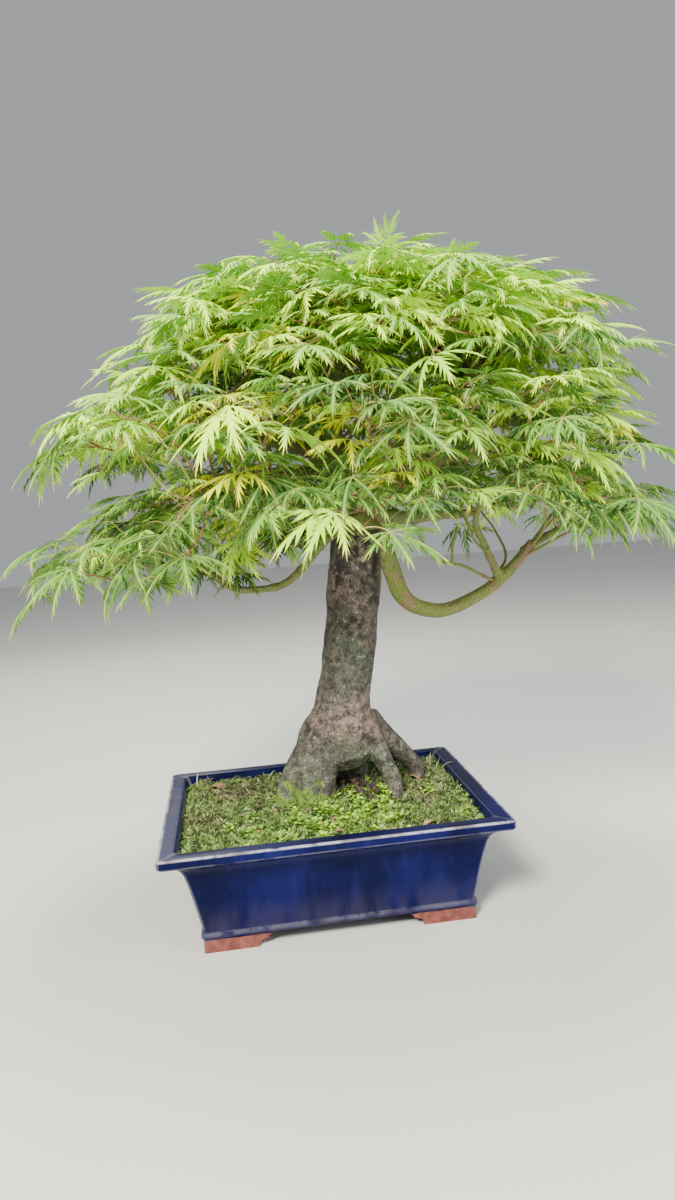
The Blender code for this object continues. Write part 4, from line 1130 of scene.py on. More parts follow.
def bend(point):
    """Lays a flat leaf point on an arc that droops away from the hub."""
    reach = math.hypot(point[0], point[1])
    if reach == 0:
        return Vector((0, 0, 0))
    scale = math.sin(LEAF_BEND * reach) / (LEAF_BEND * reach)
    return Vector((point[0] * scale, point[1] * scale, (math.cos(LEAF_BEND * reach) - 1) / LEAF_BEND))


def lobe_edge(kind):
    """Points of a lobe's edge from its right side to its left, and whether it has a rib point."""
    tip = (1.0, 0.0)
    if kind == "basal_right":
        return ((BASAL_TOOTH[0], -BASAL_TOOTH[1]), tip), False
    if kind == "basal_left":
        return (tip, BASAL_TOOTH), False
    if kind == "lower_right":
        return (*RIGHT_TOOTH, tip), True
    if kind == "lower_left":
        return (tip, *LEFT_TOOTH), True
    return (*RIGHT_TOOTH, tip, *LEFT_TOOTH), True


def leaf_outline():
    """Edge points of a leaf of length 1, right to left round its tip, and each lobe's share of them.

    A lobe's share is the numbers of its first and last edge points, and its rib point or None.
    """
    edge = []
    lobes = []
    for place, (angle, length, kind) in enumerate(LOBES):
        cos, sin = math.cos(math.radians(angle)), math.sin(math.radians(angle))
        outline, has_rib = lobe_edge(kind)
        start = len(edge)
        for along, across in outline:
            x, y = along * length, across * length
            edge.append((x * cos - y * sin, x * sin + y * cos))
        rib = (RIB_POINT * length * cos, RIB_POINT * length * sin) if has_rib else None
        lobes.append((start, len(edge), rib))
        if place < len(LOBES) - 1:
            middle = math.radians((angle + LOBES[place + 1][0]) / 2)
            edge.append((SINUS_RADIUS * math.cos(middle), SINUS_RADIUS * math.sin(middle)))
    return edge, lobes


def leaf_shape(leaf):
    """The solid model's leaf with its petiole, used to keep leaves from crossing."""
    edge, lobes = leaf_outline()
    hub, normal, length = leaf.hub, leaf.normal, leaf.length
    turn = Matrix((leaf.axis, leaf.side, normal)).transposed()
    points = [
        hub + turn @ Vector((0, -HUB_HALF_WIDTH, 0)),
        hub + normal * HUB_HALF_THICKNESS,
        hub + turn @ Vector((0, HUB_HALF_WIDTH, 0)),
        hub - normal * HUB_HALF_THICKNESS,
    ]
    right, top, left, under = range(4)
    first = len(points)
    for x, y in edge:
        points.append(hub + turn @ (bend((x, y)) * length))
    loop = [right] + list(range(first, len(points))) + [left]
    faces = []
    for start, end, rib in lobes:
        stretch = loop[start : end + 2]
        upper, lower = top, under
        if rib is not None:
            place = hub + turn @ (bend(rib) * length)
            points += [place + normal * RIB_HALF_THICKNESS, place - normal * RIB_HALF_THICKNESS]
            upper, lower = len(points) - 2, len(points) - 1
            faces += [(top, stretch[0], upper), (top, upper, stretch[-1])]
            faces += [(under, lower, stretch[0]), (under, stretch[-1], lower)]
        for a, b in zip(stretch, stretch[1:]):
            faces += [(upper, a, b), (lower, b, a)]
    add_petiole(points, faces, (right, under, left, top), leaf.side, leaf.root)
    return points, faces


def add_petiole(points, faces, ring, side, root):
    """Runs the open ring at the leaf's hub back to the root as a closed stalk."""
    hub = (points[ring[0]] + points[ring[2]]) / 2
    along = (root - hub).normalized()
    across = (side - along * side.dot(along)).normalized()
    up = along.cross(across)
    if up.dot(points[ring[3]] - points[ring[1]]) < 0:
        up = -up
    start = len(points)
    for offset in (-across, -up, across, up):
        points.append(root + offset * PETIOLE_RADIUS)
    for step in range(4):
        after = (step + 1) % 4
        faces.append((ring[step], start + step, start + after, ring[after]))
    faces.append((start + 3, start + 2, start + 1, start))


def heading_out(place, axis_x):
    """Level heading from the tree's middle out to a place."""
    return math.atan2(place.y - CROWN_AXIS_Y, (place.x - axis_x) * CROWN_FLATNESS)


def direction(heading, climb):
    """Unit vector along a level heading, raised by a climb."""
    level = math.cos(climb)
    return Vector((math.cos(heading) * level, math.sin(heading) * level, math.sin(climb)))


def tree_of(shape):
    """Search tree, centre and reach of a shape, for tests of whether shapes cross."""
    centre = sum(shape[0], Vector()) / len(shape[0])
    reach = max((point - centre).length for point in shape[0])
    return BVHTree.FromPolygons(shape[0], shape[1]), centre, reach


def crosses(candidate, others):
    """Whether a shape's surface crosses that of any other."""
    search, centre, reach = candidate
    for other, other_centre, other_reach in others:
        if (centre - other_centre).length < reach + other_reach and search.overlap(other):
            return True
    return False


def shoot_curve(base, normal, tip, heading, steps):
    """Points of a young shoot that leaves the wood square to its surface and ends level."""
    reach = (tip - base).length
    out = direction(heading, SHOOT_END_CLIMB)
    first_reach, last_reach = (share * reach for share in SHOOT_HANDLES)
    return curve((base, base + normal * first_reach, tip - out * last_reach, tip), steps)


def shoot_course(base, normal, tip, heading):
    """Path and radii of the solid model's shoot."""
    path = shoot_curve(base, normal, tip, heading, SHOOT_STEPS)
    radii = tapered(*SHOOT_RADIUS, SHOOT_STEPS)
    path.insert(1, base + normal * SHOOT_FOOT)
    radii.insert(1, SHOOT_RADIUS[0])
    return path, radii


def shoot_sites():
    """Where every shoot's tip is wanted in the solid model, and how its leaves hang."""
    top = Vector(TOP_SHOOT_TIP)
    sites = [Site(top, top.x, TOP_SHOOT_DROOP, TOP_SHOOT_LEAVES, TOP_SHOOT_LEAF_SCALE)]
    for level, (height, centre_x, half_x, half_y, count, sag, tilt, droop) in enumerate(TIERS):
        for step in range(count):
            angle = 2 * math.pi * (step + TIER_STAGGER * (level % 2) + TIER_PHASE) / count
            x = centre_x + half_x * math.cos(angle)
            y = half_y * math.sin(angle)
            z = height - sag * abs(math.cos(angle)) ** SAG_POWER + tilt * math.cos(angle)
            leaf_count = LEAVES_ON_SHOOT[len(sites) % len(LEAVES_ON_SHOOT)]
            sites.append(Site(Vector((x, y, z)), centre_x, droop, leaf_count, 1.0))
    for *tip, droop, leaf_count in INNER_SHOOTS:
        sites.append(Site(Vector(tip), INNER_AXIS_X, droop, leaf_count, 1.0))
    return sites


def draw_leaf(draw, root, heading, droop, scale, loose):
    """A leaf drawn at random round a heading, looser with each failed try."""
    turn = heading + math.radians(draw.uniform(-TURN_SPREAD, TURN_SPREAD) * loose)
    fall = droop + draw.uniform(*FALL_SPREAD) * loose
    most_climb = max(min(MOST_PETIOLE_BEND - fall, CLIMB_LIMITS[1]), LEAST_TOP_CLIMB)
    climb = draw.uniform(max(CLIMB_LIMITS[0], most_climb - CLIMB_SPREAD), most_climb)
    hub = root + direction(turn, math.radians(climb)) * draw.uniform(*PETIOLE_LENGTH) * scale
    face = turn + math.radians(draw.uniform(-FACE_SPREAD, FACE_SPREAD))
    axis = direction(face, -math.radians(fall))
    roll = Matrix.Rotation(math.radians(draw.uniform(-ROLL_SPREAD, ROLL_SPREAD)), 3, axis)
    side = roll @ Vector((-math.sin(face), math.cos(face), 0))
    return Leaf(root, hub, axis, side, axis.cross(side), draw.uniform(*LEAF_LENGTH) * scale)


def grow_leaf(draw, root, heading, site, others):
    """One leaf that crosses nothing, with its search tree, or None if no room is found."""
    for attempt in range(LEAF_TRIES):
        leaf = draw_leaf(draw, root, heading, site.droop, site.leaf_scale, 1 + attempt / LEAF_TRIES)
        candidate = tree_of(leaf_shape(leaf))
        if not crosses(candidate, others):
            return leaf, candidate
    return None


def leaf_roots(path, count):
    """Where leaves leave a shoot: a pair near its end, then one further back on each side."""
    back = (path[-2] - path[-1]).normalized()
    places = [path[-1] + back * LEAF_NODE_PITCH * (number + 1) for number in range(2)]
    places += [path[-2].lerp(path[-3], share) for share in BACK_LEAF_PLACES]
    return places[:count]


def leaf_heading(heading, number):
    """Heading of a shoot's leaf, to the left and right in turn."""
    return heading + (1 if number % 2 else -1) * math.radians(LEAF_FAN[number])


def seat_shoot(draw, wood_tree, site, spread):
    """Path, radii, heading and curve of a shoot whose tip is drawn near a site."""
    tip = site.tip + Vector([draw.uniform(-spread, spread) for _ in range(3)])
    heading = heading_out(tip, site.axis_x)
    inward = direction(heading, SEAT_DROP) * draw.uniform(*SEAT_INWARD)
    seat, normal, _, _ = wood_tree[0].find_nearest(tip - inward)
    base = seat + normal * GAP
    path, radii = shoot_course(base, normal, tip, heading)
    return path, radii, heading, shoot_curve(base, normal, tip, heading, FINE_SHOOT_STEPS)


def grow_spray(draw, wood_tree, site, placed):
    """A shoot and its leaves near a site, kept clear of everything placed so far."""
    for attempt in range(SITE_TRIES):
        spread = SITE_JITTER * site.leaf_scale * (1 + attempt / JITTER_GROWTH)
        path, radii, heading, curve = seat_shoot(draw, wood_tree, site, spread)
        shoot_tree = tree_of(tube(path, radii, SHOOT_SIDES))
        if crosses(shoot_tree, [wood_tree] + placed):
            continue
        found = []
        for number, root in enumerate(leaf_roots(path, site.leaf_count)):
            others = [wood_tree] + placed + [tree for _, tree in found]
            grown = grow_leaf(draw, root, leaf_heading(heading, number), site, others)
            if grown:
                found.append(grown)
        if len(found) == site.leaf_count or attempt > SITE_TRIES // 2 and found:
            leaves = [leaf for leaf, _ in found]
            return Spray(curve, radii, leaves), [shoot_tree] + [tree for _, tree in found]
    return None


def grow_foliage(wood_tree):
    """Every spray of the solid model, and the search trees of all its shapes."""
    draw = random.Random(SEED)
    placed = []
    sprays = []
    for site in shoot_sites():
        grown = grow_spray(draw, wood_tree, site, placed)
        if grown:
            sprays.append(grown[0])
            placed += grown[1]
    return sprays, placed


class Crowd:
    """Shapes placed so far, for counting how much a new one crosses them."""

    def __init__(self, trees):
        self.trees = list(trees)
        self.centres = np.array([tuple(tree[1]) for tree in trees])
        self.reaches = np.array([tree[2] for tree in trees])

    def add(self, tree):
        """Adds one shape."""
        self.trees.append(tree)
        self.centres = np.vstack([self.centres, tuple(tree[1])])
        self.reaches = np.append(self.reaches, tree[2])

    def crossings(self, candidate, most):
        """How many pairs of faces cross, counted no further than a limit."""
        search, centre, reach = candidate
        away = np.linalg.norm(self.centres - np.array(centre), axis=1)
        count = 0
        for place in np.nonzero(away < self.reaches + reach)[0]:
            count += len(search.overlap(self.trees[place][0]))
            if count >= most:
                break
        return count


def fill_sites():
    """Where further shoots are wanted between and inside the tiers, tier by tier."""
    tiers = []
    for level, (height, centre_x, half_x, half_y, count, sag, tilt, droop) in enumerate(TIERS):
        above = TIERS[level + 1][0] - height if level < len(TIERS) - 1 else TOP_TIER_GAP
        sites = []
        for share, rise, part, turn, lift, fine in FILL_RINGS:
            ring_count = max(2, round(count * part))
            for step in range(ring_count):
                angle = 2 * math.pi * (step + TIER_STAGGER * (level % 2) + TIER_PHASE + turn) / ring_count
                x = centre_x + half_x * share * math.cos(angle)
                y = half_y * share * math.sin(angle)
                z = height + rise * above + share * tilt * math.cos(angle)
                z -= sag * share * abs(math.cos(angle)) ** SAG_POWER
                leaf_count = FILL_LEAVES[len(sites) % len(FILL_LEAVES)]
                fall = max(droop - lift, LEAST_FILL_DROOP)
                sites.append((Site(Vector((x, y, z)), centre_x, fall, leaf_count, 1.0), fine))
        tiers.append(sites)
    low = [Site(tip, TIERS[0][1], LOW_FILL_DROOP, LOW_FILL_LEAVES, 1.0) for tip in vectors(LOW_FILL)]
    tiers[0] += [(site, True) for site in low]
    return tiers


def least_crossing(crowd, tries, propose):
    """The proposal, of so many, whose shape crosses the crowd least."""
    best = None
    least = math.inf
    for _ in range(tries):
        made, shape = propose()
        tree = tree_of(shape)
        count = crowd.crossings(tree, least)
        if count < least:
            best, least = (made, tree), count
        if least == 0:
            break
    crowd.add(best[1])
    return best[0]


def fill_spray(draw, wood_tree, site, crowd):
    """A further shoot with its leaves, which cross what stands there as little as can be."""

    def propose_shoot():
        made = seat_shoot(draw, wood_tree, site, SITE_JITTER)
        return made, tube(made[0], made[1], SHOOT_SIDES)

    path, radii, heading, course = least_crossing(crowd, FILL_SITE_TRIES, propose_shoot)
    leaves = []
    for number, root in enumerate(leaf_roots(path, site.leaf_count)):
        turn = leaf_heading(heading, number)

        def propose_leaf():
            leaf = draw_leaf(draw, root, turn, site.droop, draw.uniform(*FILL_SCALE), FILL_LOOSENESS)
            return leaf, leaf_shape(leaf)

        leaves.append(least_crossing(crowd, FILL_LEAF_TRIES, propose_leaf))
    return Spray(course, radii, leaves)


def lobe_side(draw, teeth, first):
    """One side of a fine lobe: its body's edge and its teeth's tips, as (along, across)."""
    body = list(NECK)
    tips = []
    pitch = (LAST_TOOTH - first) / teeth
    for number in range(teeth):
        along = first + pitch * number
        left = (LAST_TOOTH - along) / (LAST_TOOTH - FIRST_TEETH[0])
        reach = TOOTH_REACH[1] + TOOTH_REACH[0] * left**TOOTH_REACH_POWER
        reach *= draw.uniform(*TOOTH_REACH_SPREAD)
        body.append((along, BODY_WIDTH[1] + BODY_WIDTH[0] * left))
        tips.append((along + pitch * draw.uniform(*TOOTH_PLACE_SPREAD) + TOOTH_SWEEP * reach, reach))
    return body, tips


class LeafPattern:
    """Points and faces of a fine leaf of length 1, before it is bent.

    Each point has its lobe, and its share along and across that lobe.
    """

    def __init__(self, teeth, seed):
        self.draw = random.Random(seed)
        self.rows = [(0, 0.0, 0.0)]
        self.faces = []
        start = self.point(0, FINE_HUB, -FINE_HUB)
        for lobe, (angle, size, kind) in enumerate(LOBES):
            if lobe < len(LOBES) - 1:
                half_gap = math.radians(LOBES[lobe + 1][0] - angle) / 2
                reach = FINE_SINUS / size
                end = self.point(lobe, reach * math.cos(half_gap), reach * math.sin(half_gap))
            else:
                end = self.point(lobe, FINE_HUB, FINE_HUB)
            self.add_lobe(lobe, teeth[kind], start, end)
            start = end
        table = np.array(self.rows, dtype=float)
        self.lobe = table[:, 0].astype(int)
        self.along, self.across = table[:, 1], table[:, 2]
        self.angles = np.array([angle for angle, _, _ in LOBES])[self.lobe]
        self.sizes = np.array([size for _, size, _ in LOBES])[self.lobe]
        self.faces = np.array(self.faces)

    def point(self, lobe, along, across):
        """Adds a point and gives its number."""
        self.rows.append((lobe, along, across))
        return len(self.rows) - 1

    def add_lobe(self, lobe, teeth, start, end):
        """Adds both sides of one lobe, from one sinus point to the next."""
        tip = self.point(lobe, 1.0, 0.0)
        sides = [lobe_side(self.draw, teeth, first) for first in FIRST_TEETH]
        middles = [back for back, _ in sides[0][0]][1::2]
        rib = [(0.0, 0)] + [(back, self.point(lobe, back, 0.0)) for back in middles]
        rib.append((1.0, tip))
        for sign, (body, tips), sinus in ((-1, sides[0], start), (1, sides[1], end)):
            edge = [(self.rows[sinus][1], sinus)]
            edge += [(along, self.point(lobe, along, sign * across)) for along, across in body]
            edge.append((1.0, tip))
            found = self.strip(rib, edge)
            for number, (along, across) in enumerate(tips):
                tooth = self.point(lobe, along, sign * across)
                low = len(NECK) + number
                found.append((edge[low][1], tooth, edge[low + 1][1]))
            self.faces += found if sign < 0 else [tuple(reversed(face)) for face in found]

    def strip(self, rib, edge):
        """Triangles between a rib and an edge that meet at the tip."""
        found = []
        i = j = 0
        while i < len(rib) - 2 or j < len(edge) - 2:
            if j == len(edge) - 2 or i < len(rib) - 2 and rib[i + 1][0] <= edge[j + 1][0]:
                found.append((rib[i][1], edge[j][1], rib[i + 1][1]))
                i += 1
            else:
                found.append((rib[i][1], edge[j][1], edge[j + 1][1]))
                j += 1
        found.append((rib[-2][1], edge[-2][1], rib[-1][1]))
        return found

    def spread(self, draw, limits):
        """A value drawn for each lobe, given to all of the lobe's points."""
        return np.array([draw.uniform(*limits) for _ in LOBES])[self.lobe]

    def bent(self, leaf, draw, tint):
        """Points and colours of one leaf, each lobe with a bend, twist and fold of its own."""
        size = self.sizes * self.spread(draw, LOBE_SIZE) * leaf.length
        turn = np.radians(self.angles + self.spread(draw, LOBE_TURN))
        lift = self.spread(draw, LOBE_LIFT)
        curl = self.spread(draw, LOBE_CURL)
        twist = self.spread(draw, LOBE_TWIST)
        sway = self.spread(draw, LOBE_SWAY)
        fold = draw.uniform(*LEAF_FOLD)
        slope = curl * self.along - lift
        out = (np.sin(slope) + np.sin(lift)) / curl
        drop = (np.cos(slope) - np.cos(lift)) / curl
        across = self.across + sway * self.along**2
        spin = twist * self.along
        level = np.zeros_like(turn)
        flat = np.stack([np.cos(turn), np.sin(turn), level], axis=1)
        wide = np.stack([-np.sin(turn), np.cos(turn), level], axis=1)
        up = np.array([0.0, 0.0, 1.0])
        above = flat * np.sin(slope)[:, None] + up * np.cos(slope)[:, None]
        lean = wide * np.cos(spin)[:, None] + above * np.sin(spin)[:, None]
        local = flat * out[:, None] + up * drop[:, None] + lean * across[:, None]
        local -= above * (fold * np.abs(self.across))[:, None]
        local *= size[:, None]
        axes = np.array([tuple(leaf.axis), tuple(leaf.side), tuple(leaf.normal)])
        return local @ axes + np.array(leaf.hub), self.colours(tint)

    def colours(self, tint):
        """Tint, share along the lobe, distance from the rib, and 0 for a blade, at each point."""
        rib = np.clip(np.abs(self.across) / RIB_REACH, 0, 1)
        whole = np.ones_like(rib)
        return np.stack([whole * tint, np.clip(self.along, 0, 1), rib, whole * 0], axis=1)


class Growth:
    """Points, faces and colours gathered from many shapes for one mesh."""

    def __init__(self):
        self.points = []
        self.faces = []
        self.colours = []
        self.count = 0

    def add(self, points, faces, colours):
        """Adds a shape; one colour does for all its points."""
        if not isinstance(points, np.ndarray):
            points = np.asarray([tuple(point) for point in points])
        self.points.append(points)
        self.faces.extend(tuple(int(number) + self.count for number in face) for face in faces)
        self.colours.append(np.broadcast_to(np.asarray(colours, dtype=float), (len(points), 4)))
        self.count += len(points)

    def piece(self, name, look, attribute, slot, replaced=(), smooth=55):
        """The gathered shapes as one piece."""
        points = np.concatenate(self.points)
        colours = (attribute, np.concatenate(self.colours))
        add_piece(name, points, self.faces, look, replaced, smooth, colours)


def leaf_tint(hub, draw):
    """How lit a leaf is painted, and how yellow: painted shade on many low leaves, painted light most at the
    top and the rim of the crown, and a few quite yellow, most of them near one spot where the yellow is
    partly painted light.
    """
    near = math.exp(-(((hub - Vector(YELLOW_SPOT)).length / YELLOW_SPOT_REACH) ** 2))
    if draw.random() < YELLOW_LEAF_SHARE + YELLOW_SPOT_SHARE * near:
        return draw.uniform(*YELLOW_TINT)
    rise = hub.z - CROWN_HEIGHTS[0]
    # Painted shade: many of the low leaves get a dark tint
    if draw.random() < SHADED_LEAF_SHARE[0] - SHADED_LEAF_SHARE[1] * rise:
        return draw.uniform(*SHADED_LEAF_TINT)
    # Painted light: paler with height and out towards the crown's rim
    lit = rise / CROWN_HEIGHTS[1]
    outward = math.hypot(hub.x - CROWN_MIDDLE_X, hub.y) / CROWN_REACH
    base, lit_share, outward_share = LEAF_LIGHT_TINT
    tint = base + lit_share * lit + outward_share * outward + draw.uniform(*LEAF_TINT_SPREAD)
    return clamped(max(tint, LEAST_LIT_TINT * lit), 0.0, MOST_TINT)


def petiole_path(leaf):
    """Points of a leaf stalk that springs from the shoot and comes into the hub from behind."""
    reach = (leaf.hub - leaf.root).length
    lift = Vector((0, 0, PETIOLE_LIFT)) * reach
    first = leaf.root.lerp(leaf.hub, PETIOLE_HANDLES[0]) + lift
    last = leaf.hub - leaf.axis * reach * PETIOLE_HANDLES[1] + lift * PETIOLE_END_LIFT
    return curve((leaf.root, first, last, leaf.hub), FINE_PETIOLE_STEPS)


def add_fine_spray(growth, patterns, spray, draw):
    """Adds a shoot, its leaf stalks and its fine leaves."""
    base, second = spray.path[:2]
    path = [base - (second - base).normalized() * FINE_SHOOT_SUNK] + list(spray.path)
    radii = tapered(*FINE_SHOOT_RADIUS, len(path) - 1)
    shoot_tint = draw.uniform(*FINE_SHOOT_TINT)
    growth.add(*tube(path, radii, FINE_SHOOT_SIDES), (shoot_tint, 0, 0, 1))
    for leaf in spray.leaves:
        tint = leaf_tint(leaf.hub, draw)
        stalk = tube(petiole_path(leaf), tapered(*FINE_PETIOLE, FINE_PETIOLE_STEPS), FINE_PETIOLE_SIDES)
        growth.add(*stalk, (draw.uniform(*FINE_PETIOLE_TINT), 0, 0, 1))
        pattern = draw.choice(patterns)
        points, colours = pattern.bent(leaf, draw, tint)
        growth.add(points, pattern.faces, colours)


def make_foliage(look):
    """Fine sprays in place of the solid ones, then the further shoots of each tier."""
    wood_tree = tree_of(plain_wood())
    sprays, placed = grow_foliage(wood_tree)
    patterns = [LeafPattern(FINE_TEETH, seed) for seed in range(LEAF_PATTERNS)]
    inner_patterns = [LeafPattern(INNER_TEETH, seed) for seed in range(LEAF_PATTERNS)]
    draw = random.Random(FILL_SEED)
    for number, spray in enumerate(sprays, 1):
        growth = Growth()
        add_fine_spray(growth, patterns, spray, draw)
        growth.piece(f"fine_spray_{number:02d}", look, "leaf", "foliage", (f"leaf_spray_{number:02d}",))
    crowd = Crowd([wood_tree] + placed)
    for level, sites in enumerate(fill_sites(), 1):
        growth = Growth()
        for site, fine in sites:
            spray = fill_spray(draw, wood_tree, site, crowd)
            add_fine_spray(growth, patterns if fine else inner_patterns, spray, draw)
        growth.piece(f"further_sprays_{level}", look, "leaf", "foliage")


def stout_paths():
    """Courses of the trunk and the roots, as points with the radius as a fourth value."""
    courses = [TRUNK] + [root[1:] for root in ROOTS.values()]
    return [smooth_path(vectors(rows), FINE_STEP) for rows in courses]


def thick_shapes():
    """Overlapping tubes of the trunk, the roots, the thick limbs and every branch's collar."""
    shapes = []
    for path in stout_paths():
        shapes.append(tube([row.xyz for row in path], [row.w for row in path], FINE_TRUNK_SIDES))
    for name in BRANCHES:
        path, radii, sides = branch_parts(name, FINE_STEP)
        if sides == TWIG_SIDES:
            count = max(LEAST_COLLAR_STEPS, round(COLLAR_LENGTH / FINE_STEP))
            path = path[:count]
            radii = [radius * share for radius, share in zip(radii, tapered(*COLLAR_FLARE, count - 1))]
        shapes.append(tube(path, radii, LIMB_SIDES))
    return shapes


def wood_skeleton():
    """A search tree over points along all the wood, and the radius at each."""
    samples = [(row.xyz, row.w) for path in stout_paths() for row in path]
    for name in BRANCHES:
        path, radii, _ = branch_parts(name, FINE_STEP)
        samples += list(zip(path, radii))
    search = KDTree(len(samples))
    for number, (place, _) in enumerate(samples):
        search.insert(place, number)
    search.balance()
    return search, [radius for _, radius in samples]


def drifting(place, settings, shift=(0, 0, 0)):
    """Noise at a place, by its features per metre and its weight."""
    scale, weight = settings
    return noise.noise(place * scale + Vector(shift)) * weight


def bark_relief(place, radius):
    """How far the bark stands out at a place."""
    size = min(radius / BARK_FULL_RADIUS, 1.0)
    long_grain = Vector((place.x, place.y, place.z * BARK_GRAIN_STRETCH))
    lumps = sum(drifting(place, lump) for lump in BARK_LUMPS)
    plates = noise.noise(long_grain * BARK_PLATES + Vector(BARK_PLATE_SHIFT))
    cleft = max(0.0, -plates - BARK_CLEFT_EDGE) * BARK_CLEFT_GAIN
    rough = lumps * (THIN_LUMP_SHARE + (1 - THIN_LUMP_SHARE) * size)
    return rough - cleft * BARK_CLEFT_DEPTH * size + drifting(long_grain, BARK_GRAIN) * size


def banded(rows, height):
    """How strong several soft bands are together at a height."""
    return sum(strength * math.exp(-(((height - middle) / reach) ** 2)) for strength, middle, reach in rows)


def bark_age(place, radius):
    """1 on the trunk and the roots, 0 on young limbs."""
    least, over = OLD_RADIUS
    old = clamped((radius - least) / over)
    if place.z < OLD_TRUNK_TOP and place.x > OLD_TRUNK_LEFT:
        right, over = OLD_TRUNK_RIGHT
        old = max(old, clamped((right - place.x) / over))
    return 1.0 if place.z < OLD_ALL_BELOW else old


def bark_colour(place, radius):
    """Age, dark blotch and darkening towards the trunk's top, pinkish patch and algae at a place on the
    wood.
    """
    patch = clamped(banded(PINK_BANDS, place.z) + PINK_BASE + drifting(place, PINK_NOISE, PINK_SHIFT))
    algae = clamped(banded(ALGAE_BANDS, place.z) + ALGAE_BASE + drifting(place, ALGAE_NOISE))
    top, over = CREEP_HEIGHT
    creep = (top - place.z) / over + drifting(place, CREEP_NOISE) - CREEP_START
    if place.x < CREEP_RIGHT and creep > 0:
        algae = 1.0 + min(creep, MOST_CREEP)
    blotch = drifting(place, DARK_NOISE, DARK_SHIFT) + banded(DARK_BANDS, place.z) + DARK_BASE
    bottom, over, most = DARK_TOP
    dark = max(clamped(blotch, 0.0, MOST_DARK), min((place.z - bottom) / over, most))
    return bark_age(place, radius), dark, patch, algae


def make_trunk(look, skeleton):
    """Roots, trunk and thick limbs as one skin with bark on it."""
    base = helper("trunk", joined(thick_shapes()))
    remesh = base.modifiers.new("skin", "REMESH")
    remesh.mode = "VOXEL"
    remesh.voxel_size = BARK_VOXEL
    relax = base.modifiers.new("relax", "SMOOTH")
    relax.factor, relax.iterations = BARK_RELAXING
    mesh = evaluated(base)
    search, radii = skeleton
    points = []
    colours = []
    for vertex in mesh.vertices:
        radius = radii[search.find(vertex.co)[1]]
        points.append(tuple(vertex.co + vertex.normal * bark_relief(vertex.co, radius)))
        colours.append(bark_colour(vertex.co, radius))
    faces = [tuple(polygon.vertices) for polygon in mesh.polygons]
    bpy.data.meshes.remove(mesh)
    add_piece("bark_trunk", points, faces, look, ("trunk_and_branches",), 180, ("bark", colours))


def make_branches(look):
    """Thin branches and bare twigs, with slight knots where old leaves fell."""
    growth = Growth()
    draw = random.Random(SEEDS["branches"])
    for name in BRANCHES:
        path, radii, sides = branch_parts(name, FINE_STEP)
        if sides == TWIG_SIDES:
            add_knotted(growth, path, radii, draw, BRANCH_AGE)
    for rows in TWIGS:
        path = smooth_path(vectors(rows), FINE_STEP)
        add_knotted(growth, path, tapered(*TWIG_RADIUS, len(path) - 1), draw, 0.0)
    growth.piece("fine_branches", look, "bark", "bark", smooth=180)


def add_knotted(growth, path, radii, draw, old):
    """Adds a thin branch whose thickness and course waver a little."""
    shaped = []
    course = []
    offset = draw.uniform(0, BRANCH_KNOT_PITCH)
    scale, reach = BRANCH_DRIFT
    for place, (point, radius) in enumerate(zip(path, radii)):
        along = (place * FINE_STEP + offset) % BRANCH_KNOT_PITCH
        knot = math.exp(-(((along - BRANCH_KNOT_PITCH / 2) / KNOT_REACH) ** 2))
        shaped.append(radius * (1 + KNOT_SWELL * knot + drifting(point, BRANCH_SWELL)))
        spot = point * scale
        drift = Vector((noise.noise(spot), noise.noise(spot + Vector(BRANCH_DRIFT_SHIFT)), 0))
        course.append(point + drift * reach)
    green = draw.uniform(*BRANCH_GREEN)
    growth.add(*tube(course, shaped, FINE_BRANCH_SIDES), (old, 0, BRANCH_PINK, green))


def mound(x, y):
    """Height of the soil above its height at the wall."""
    across = (x - MOUND_CENTRE[0]) / MOUND_REACH[0]
    along = (y - MOUND_CENTRE[1]) / MOUND_REACH[1]
    return MOUND_RISE * math.exp(-across * across - along * along)


def inner_inset(height):
    """How far the pot's inner wall lies inside the lip's outline at a height."""
    (top_inset, top), (floor_inset, floor) = INNER_PROFILE[-2:]
    return top_inset + (floor_inset - top_inset) * (top - height) / (top - floor)


def ground_noise(kind, x, y):
    """Soft noise of one kind at a place on the ground."""
    rows = GROUND_NOISE[kind]
    return sum(weight * noise.noise(Vector((x, y, layer)) * scale) for scale, layer, weight in rows)


def moss_top(x, y):
    """Height of the moss, with its cushions."""
    return SOIL_EDGE_HEIGHT + mound(x, y) + MOSS_THICKNESS + ground_noise("cushions", x, y)


def on_moss(x, y, lift):
    """A place so far above the moss."""
    return Vector((x, y, moss_top(x, y) + lift))


def moss_colour(x, y, drawn, lift):
    """Tint, dryness, lift and freshness of the moss at a place; a low lift is painted as shade."""
    patches = ground_noise("patches", x, y)
    dry = clamped(patches * DRY_PATCHES[0] - DRY_PATCHES[1] + spots(DRY_SPOTS, x, y))
    fresh = clamped(patches * FRESH_PATCHES[0] - FRESH_PATCHES[1] + spots(FRESH_SPOTS, x, y))
    broad = ground_noise("broad", x, y)
    middle, tuft_share, broad_share, drawn_share = MOSS_TINT
    tint = middle + tuft_share * ground_noise("tufts", x, y) + broad_share * broad
    tint = clamped(tint + drawn_share * (drawn - MOSS_MIDDLE_DRAW))
    whole, gap_share, broad_share = MOSS_SHADE_LIFT
    lift *= clamped(whole + gap_share * ground_noise("gaps", x, y) + broad_share * broad, LEAST_SHADE_LIFT_SHARE)
    return tint, dry * (1 - fresh), lift, fresh


def spots(rows, x, y):
    """The strongest of several soft spots at a place."""
    strongest = 0.0
    for middle_x, middle_y, reach_x, reach_y, strength in rows:
        across = (x - middle_x) / reach_x
        along = (y - middle_y) / reach_y
        strongest = max(strongest, strength * math.exp(-across * across - along * along))
    return strongest


